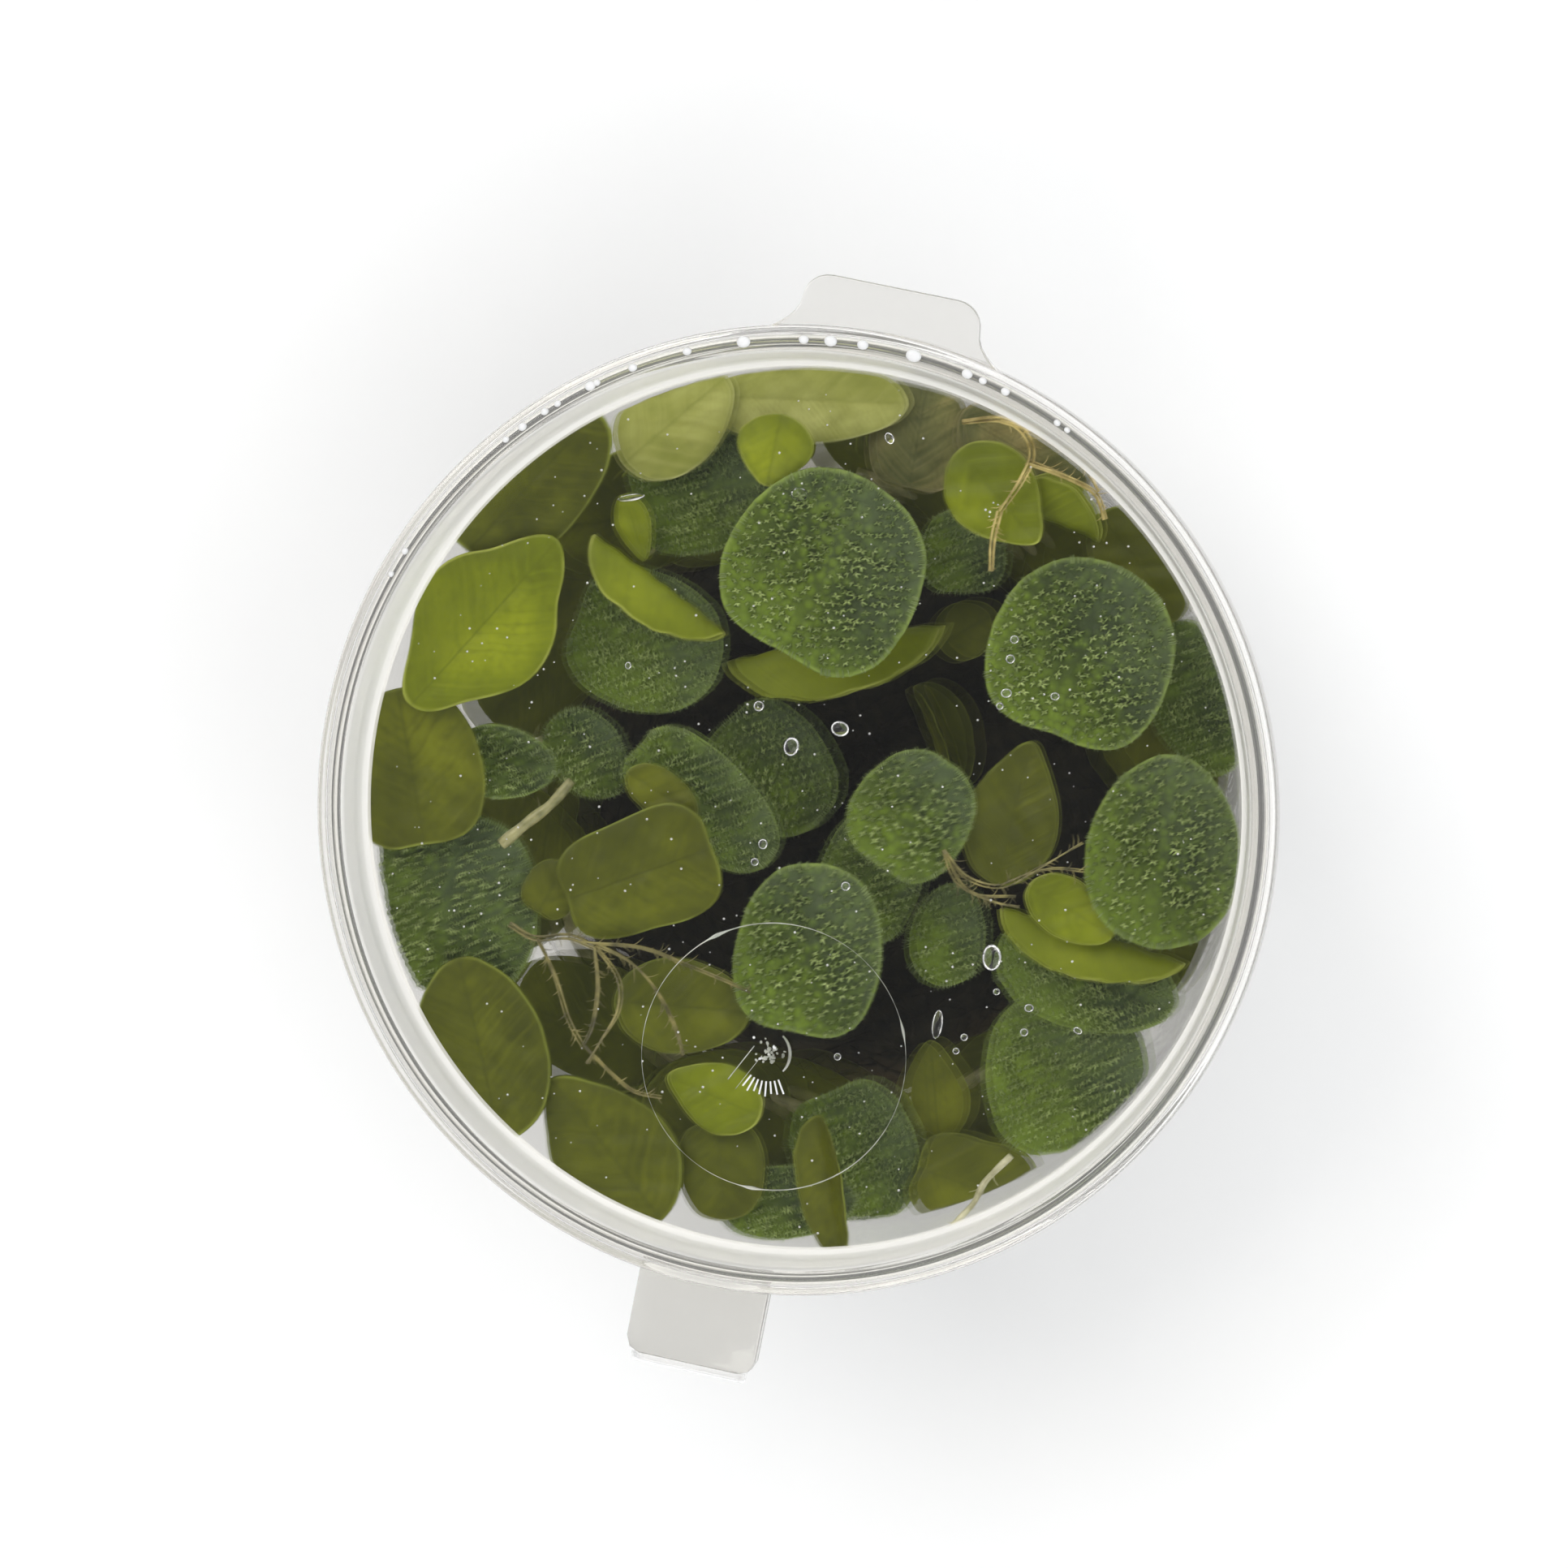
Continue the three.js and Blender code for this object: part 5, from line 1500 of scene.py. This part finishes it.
class WATERMOSS_OT_panel_marks(bpy.types.Operator):
    """Makes the moulding marks in the lid's panel: the gate mark and the thin ring"""
    bl_idname = "watermoss.panel_marks"
    bl_label = "Marks in the panel"

    def execute(self, context):
        rng = np.random.default_rng(9)
        heap = Heap()
        heap.add(*mould_ring())
        gate = beside_gate(0, 0)
        for crumb in range(GATE_CRUMBS):
            size = rng.uniform(*CRUMB_SIZES)
            radii = (size, size * rng.uniform(0.5, 1))
            points, faces = drop_shape(radii, size * 0.9, rng.uniform(0, 3), 6, 2)
            spot = rng.normal(0, GATE_SPREAD, 2)
            # Every ninth crumb takes the painted highlight
            heap.add(points + gate + [*spot, -MARK_LIFT], faces, int(crumb % 9 == 0))
        # Painted highlight: a pale ridge in the shape of the crescent of light beside the gate
        wide, tall = CRESCENT_RADII
        bends = np.linspace(-0.9, 0.9, CRESCENT_POINTS)
        crescent = [beside_gate(wide * math.cos(a) + 0.15, tall * math.sin(a), MARK_LIFT) for a in bends]
        swell = np.sin(np.linspace(0, math.pi, CRESCENT_POINTS))
        heap.add(*tube(crescent, 0.06 + 0.05 * swell, 6))
        inner, outer = FAN_REACH
        for bar in range(FAN_BARS):
            angle = math.radians(FAN_MIDDLE + FAN_STEP * (bar - (FAN_BARS - 1) / 2))
            reaches = (inner, outer + 0.1 * math.sin(bar * 2.1))
            line = [beside_gate(reach * math.cos(angle), reach * math.sin(angle)) for reach in reaches]
            # The bars of the fan are ridges; their white is painted highlight
            heap.add(*tube(smooth_line(line, 0.2), FAN_GIRTH, 5), 1)
        for right, up, girth in SCRATCHES:
            start, end = (beside_gate(x + right, y + up) for x, y in (SCRATCH_START, SCRATCH_END))
            heap.add(*tube(smooth_line([start, (start + end) / 2, end], 0.3), girth, 5))
        skins = [ridge_material(), painted_glint_material("ridge_painted_glint", 0.2)]
        placed(heap.piece("panel_marks", skins), "lid", "clear_plastic")
        return {"FINISHED"}


class WATERMOSS_OT_stage(bpy.types.Operator):
    """Makes the floor, the soft lights and the camera at the photograph's view"""
    bl_idname = "watermoss.stage"
    bl_label = "Stage"

    def execute(self, context):
        stage = settings("watermoss_stage")
        n = Nodes("pale_floor")
        shade = tuple(stage.floor)
        colour = n.ramp(n.noise(n.where(), 40, 2), (0.3, times(shade, 0.985)), (0.7, shade))
        n.set(Base_Color=colour, Roughness=0.8)
        corners = [(x * FLOOR_REACH, y * FLOOR_REACH, 0) for x, y in ((-1, -1), (1, -1), (1, 1), (-1, 1))]
        floor = new_piece("floor", corners, [(0, 1, 2, 3)], [n.material])
        world = bpy.data.worlds.new("studio")
        context.scene.world = world
        world.use_nodes = True
        sky = world.node_tree.nodes["Background"]
        sky.inputs["Color"].default_value = SKY
        sky.inputs["Strength"].default_value = SKY_STRENGTH
        context.scene.view_settings.view_transform = "Standard"
        for name, (place, size, share, lamp_colour) in LAMPS.items():
            add_lamp(name, place, size, stage.key * share, lamp_colour)
        add_camera(context)
        return {"FINISHED"}


def add_lamp(name, place, size, power, colour):
    lamp = bpy.data.lights.new(name, "AREA")
    lamp.size = size
    lamp.energy = power
    lamp.color = colour
    piece = bpy.data.objects.new(name, lamp)
    piece.location = place
    piece.rotation_euler = (LAMP_AIM - Vector(place)).to_track_quat("-Z", "Y").to_euler()
    bpy.context.collection.objects.link(piece)


def add_camera(context):
    """The camera stands where the photograph was taken from, and its shift frames the picture."""
    lens = bpy.data.cameras.new("photo_camera")
    width = PICTURE / PHOTO_SCALE
    lens.sensor_width = SENSOR_WIDTH
    lens.lens = SENSOR_WIDTH / 2 / (width / 2 / PHOTO_DISTANCE)
    lens.shift_x = -(PHOTO_MIDDLE[0] - PICTURE / 2) / PICTURE
    lens.shift_y = (PHOTO_MIDDLE[1] - PICTURE / 2) / PICTURE
    lens.clip_start = 0.01
    camera = bpy.data.objects.new("photo_camera", lens)
    context.collection.objects.link(camera)
    turn = Matrix((PHOTO_RIGHT, PHOTO_UP, PHOTO_BACK)).transposed().to_4x4()
    camera.matrix_world = Matrix.Translation(VIEW_POINT * MM) @ turn
    context.scene.camera = camera


class WATERMOSS_PT_panel(bpy.types.Panel):
    """Lists the pieces of the pot of watermoss and their settings"""
    bl_idname = "WATERMOSS_PT_panel"
    bl_label = "Potted Watermoss"
    bl_space_type = "VIEW_3D"
    bl_region_type = "UI"
    bl_category = "Watermoss"

    def draw(self, context):
        layout = self.layout
        for name, group in GROUPS.items():
            box = layout.box()
            for key in group.__annotations__:
                box.prop(settings(name), key)
        for operator in OPERATORS:
            layout.operator(operator.bl_idname)


OPERATORS = (
    WATERMOSS_OT_stage, WATERMOSS_OT_pot, WATERMOSS_OT_lid, WATERMOSS_OT_hinge_web, WATERMOSS_OT_leaves,
    WATERMOSS_OT_roots, WATERMOSS_OT_lower_fronds, WATERMOSS_OT_root_heap, WATERMOSS_OT_water,
    WATERMOSS_OT_panel_marks,
)
GROUPS = {
    "watermoss_pot": PotSettings, "watermoss_fern": FernSettings, "watermoss_stage": StageSettings,
}
CLASSES = (*GROUPS.values(), *OPERATORS, WATERMOSS_PT_panel)


def register():
    for item in CLASSES:
        bpy.utils.register_class(item)
    for name, group in GROUPS.items():
        setattr(bpy.types.Scene, name, bpy.props.PointerProperty(type=group))


def unregister():
    for name in GROUPS:
        delattr(bpy.types.Scene, name)
    for item in reversed(CLASSES):
        bpy.utils.unregister_class(item)


def main():
    register()
    for operator in OPERATORS:
        family, name = operator.bl_idname.split(".")
        getattr(getattr(bpy.ops, family), name)()


if __name__ == "__main__":
    main()
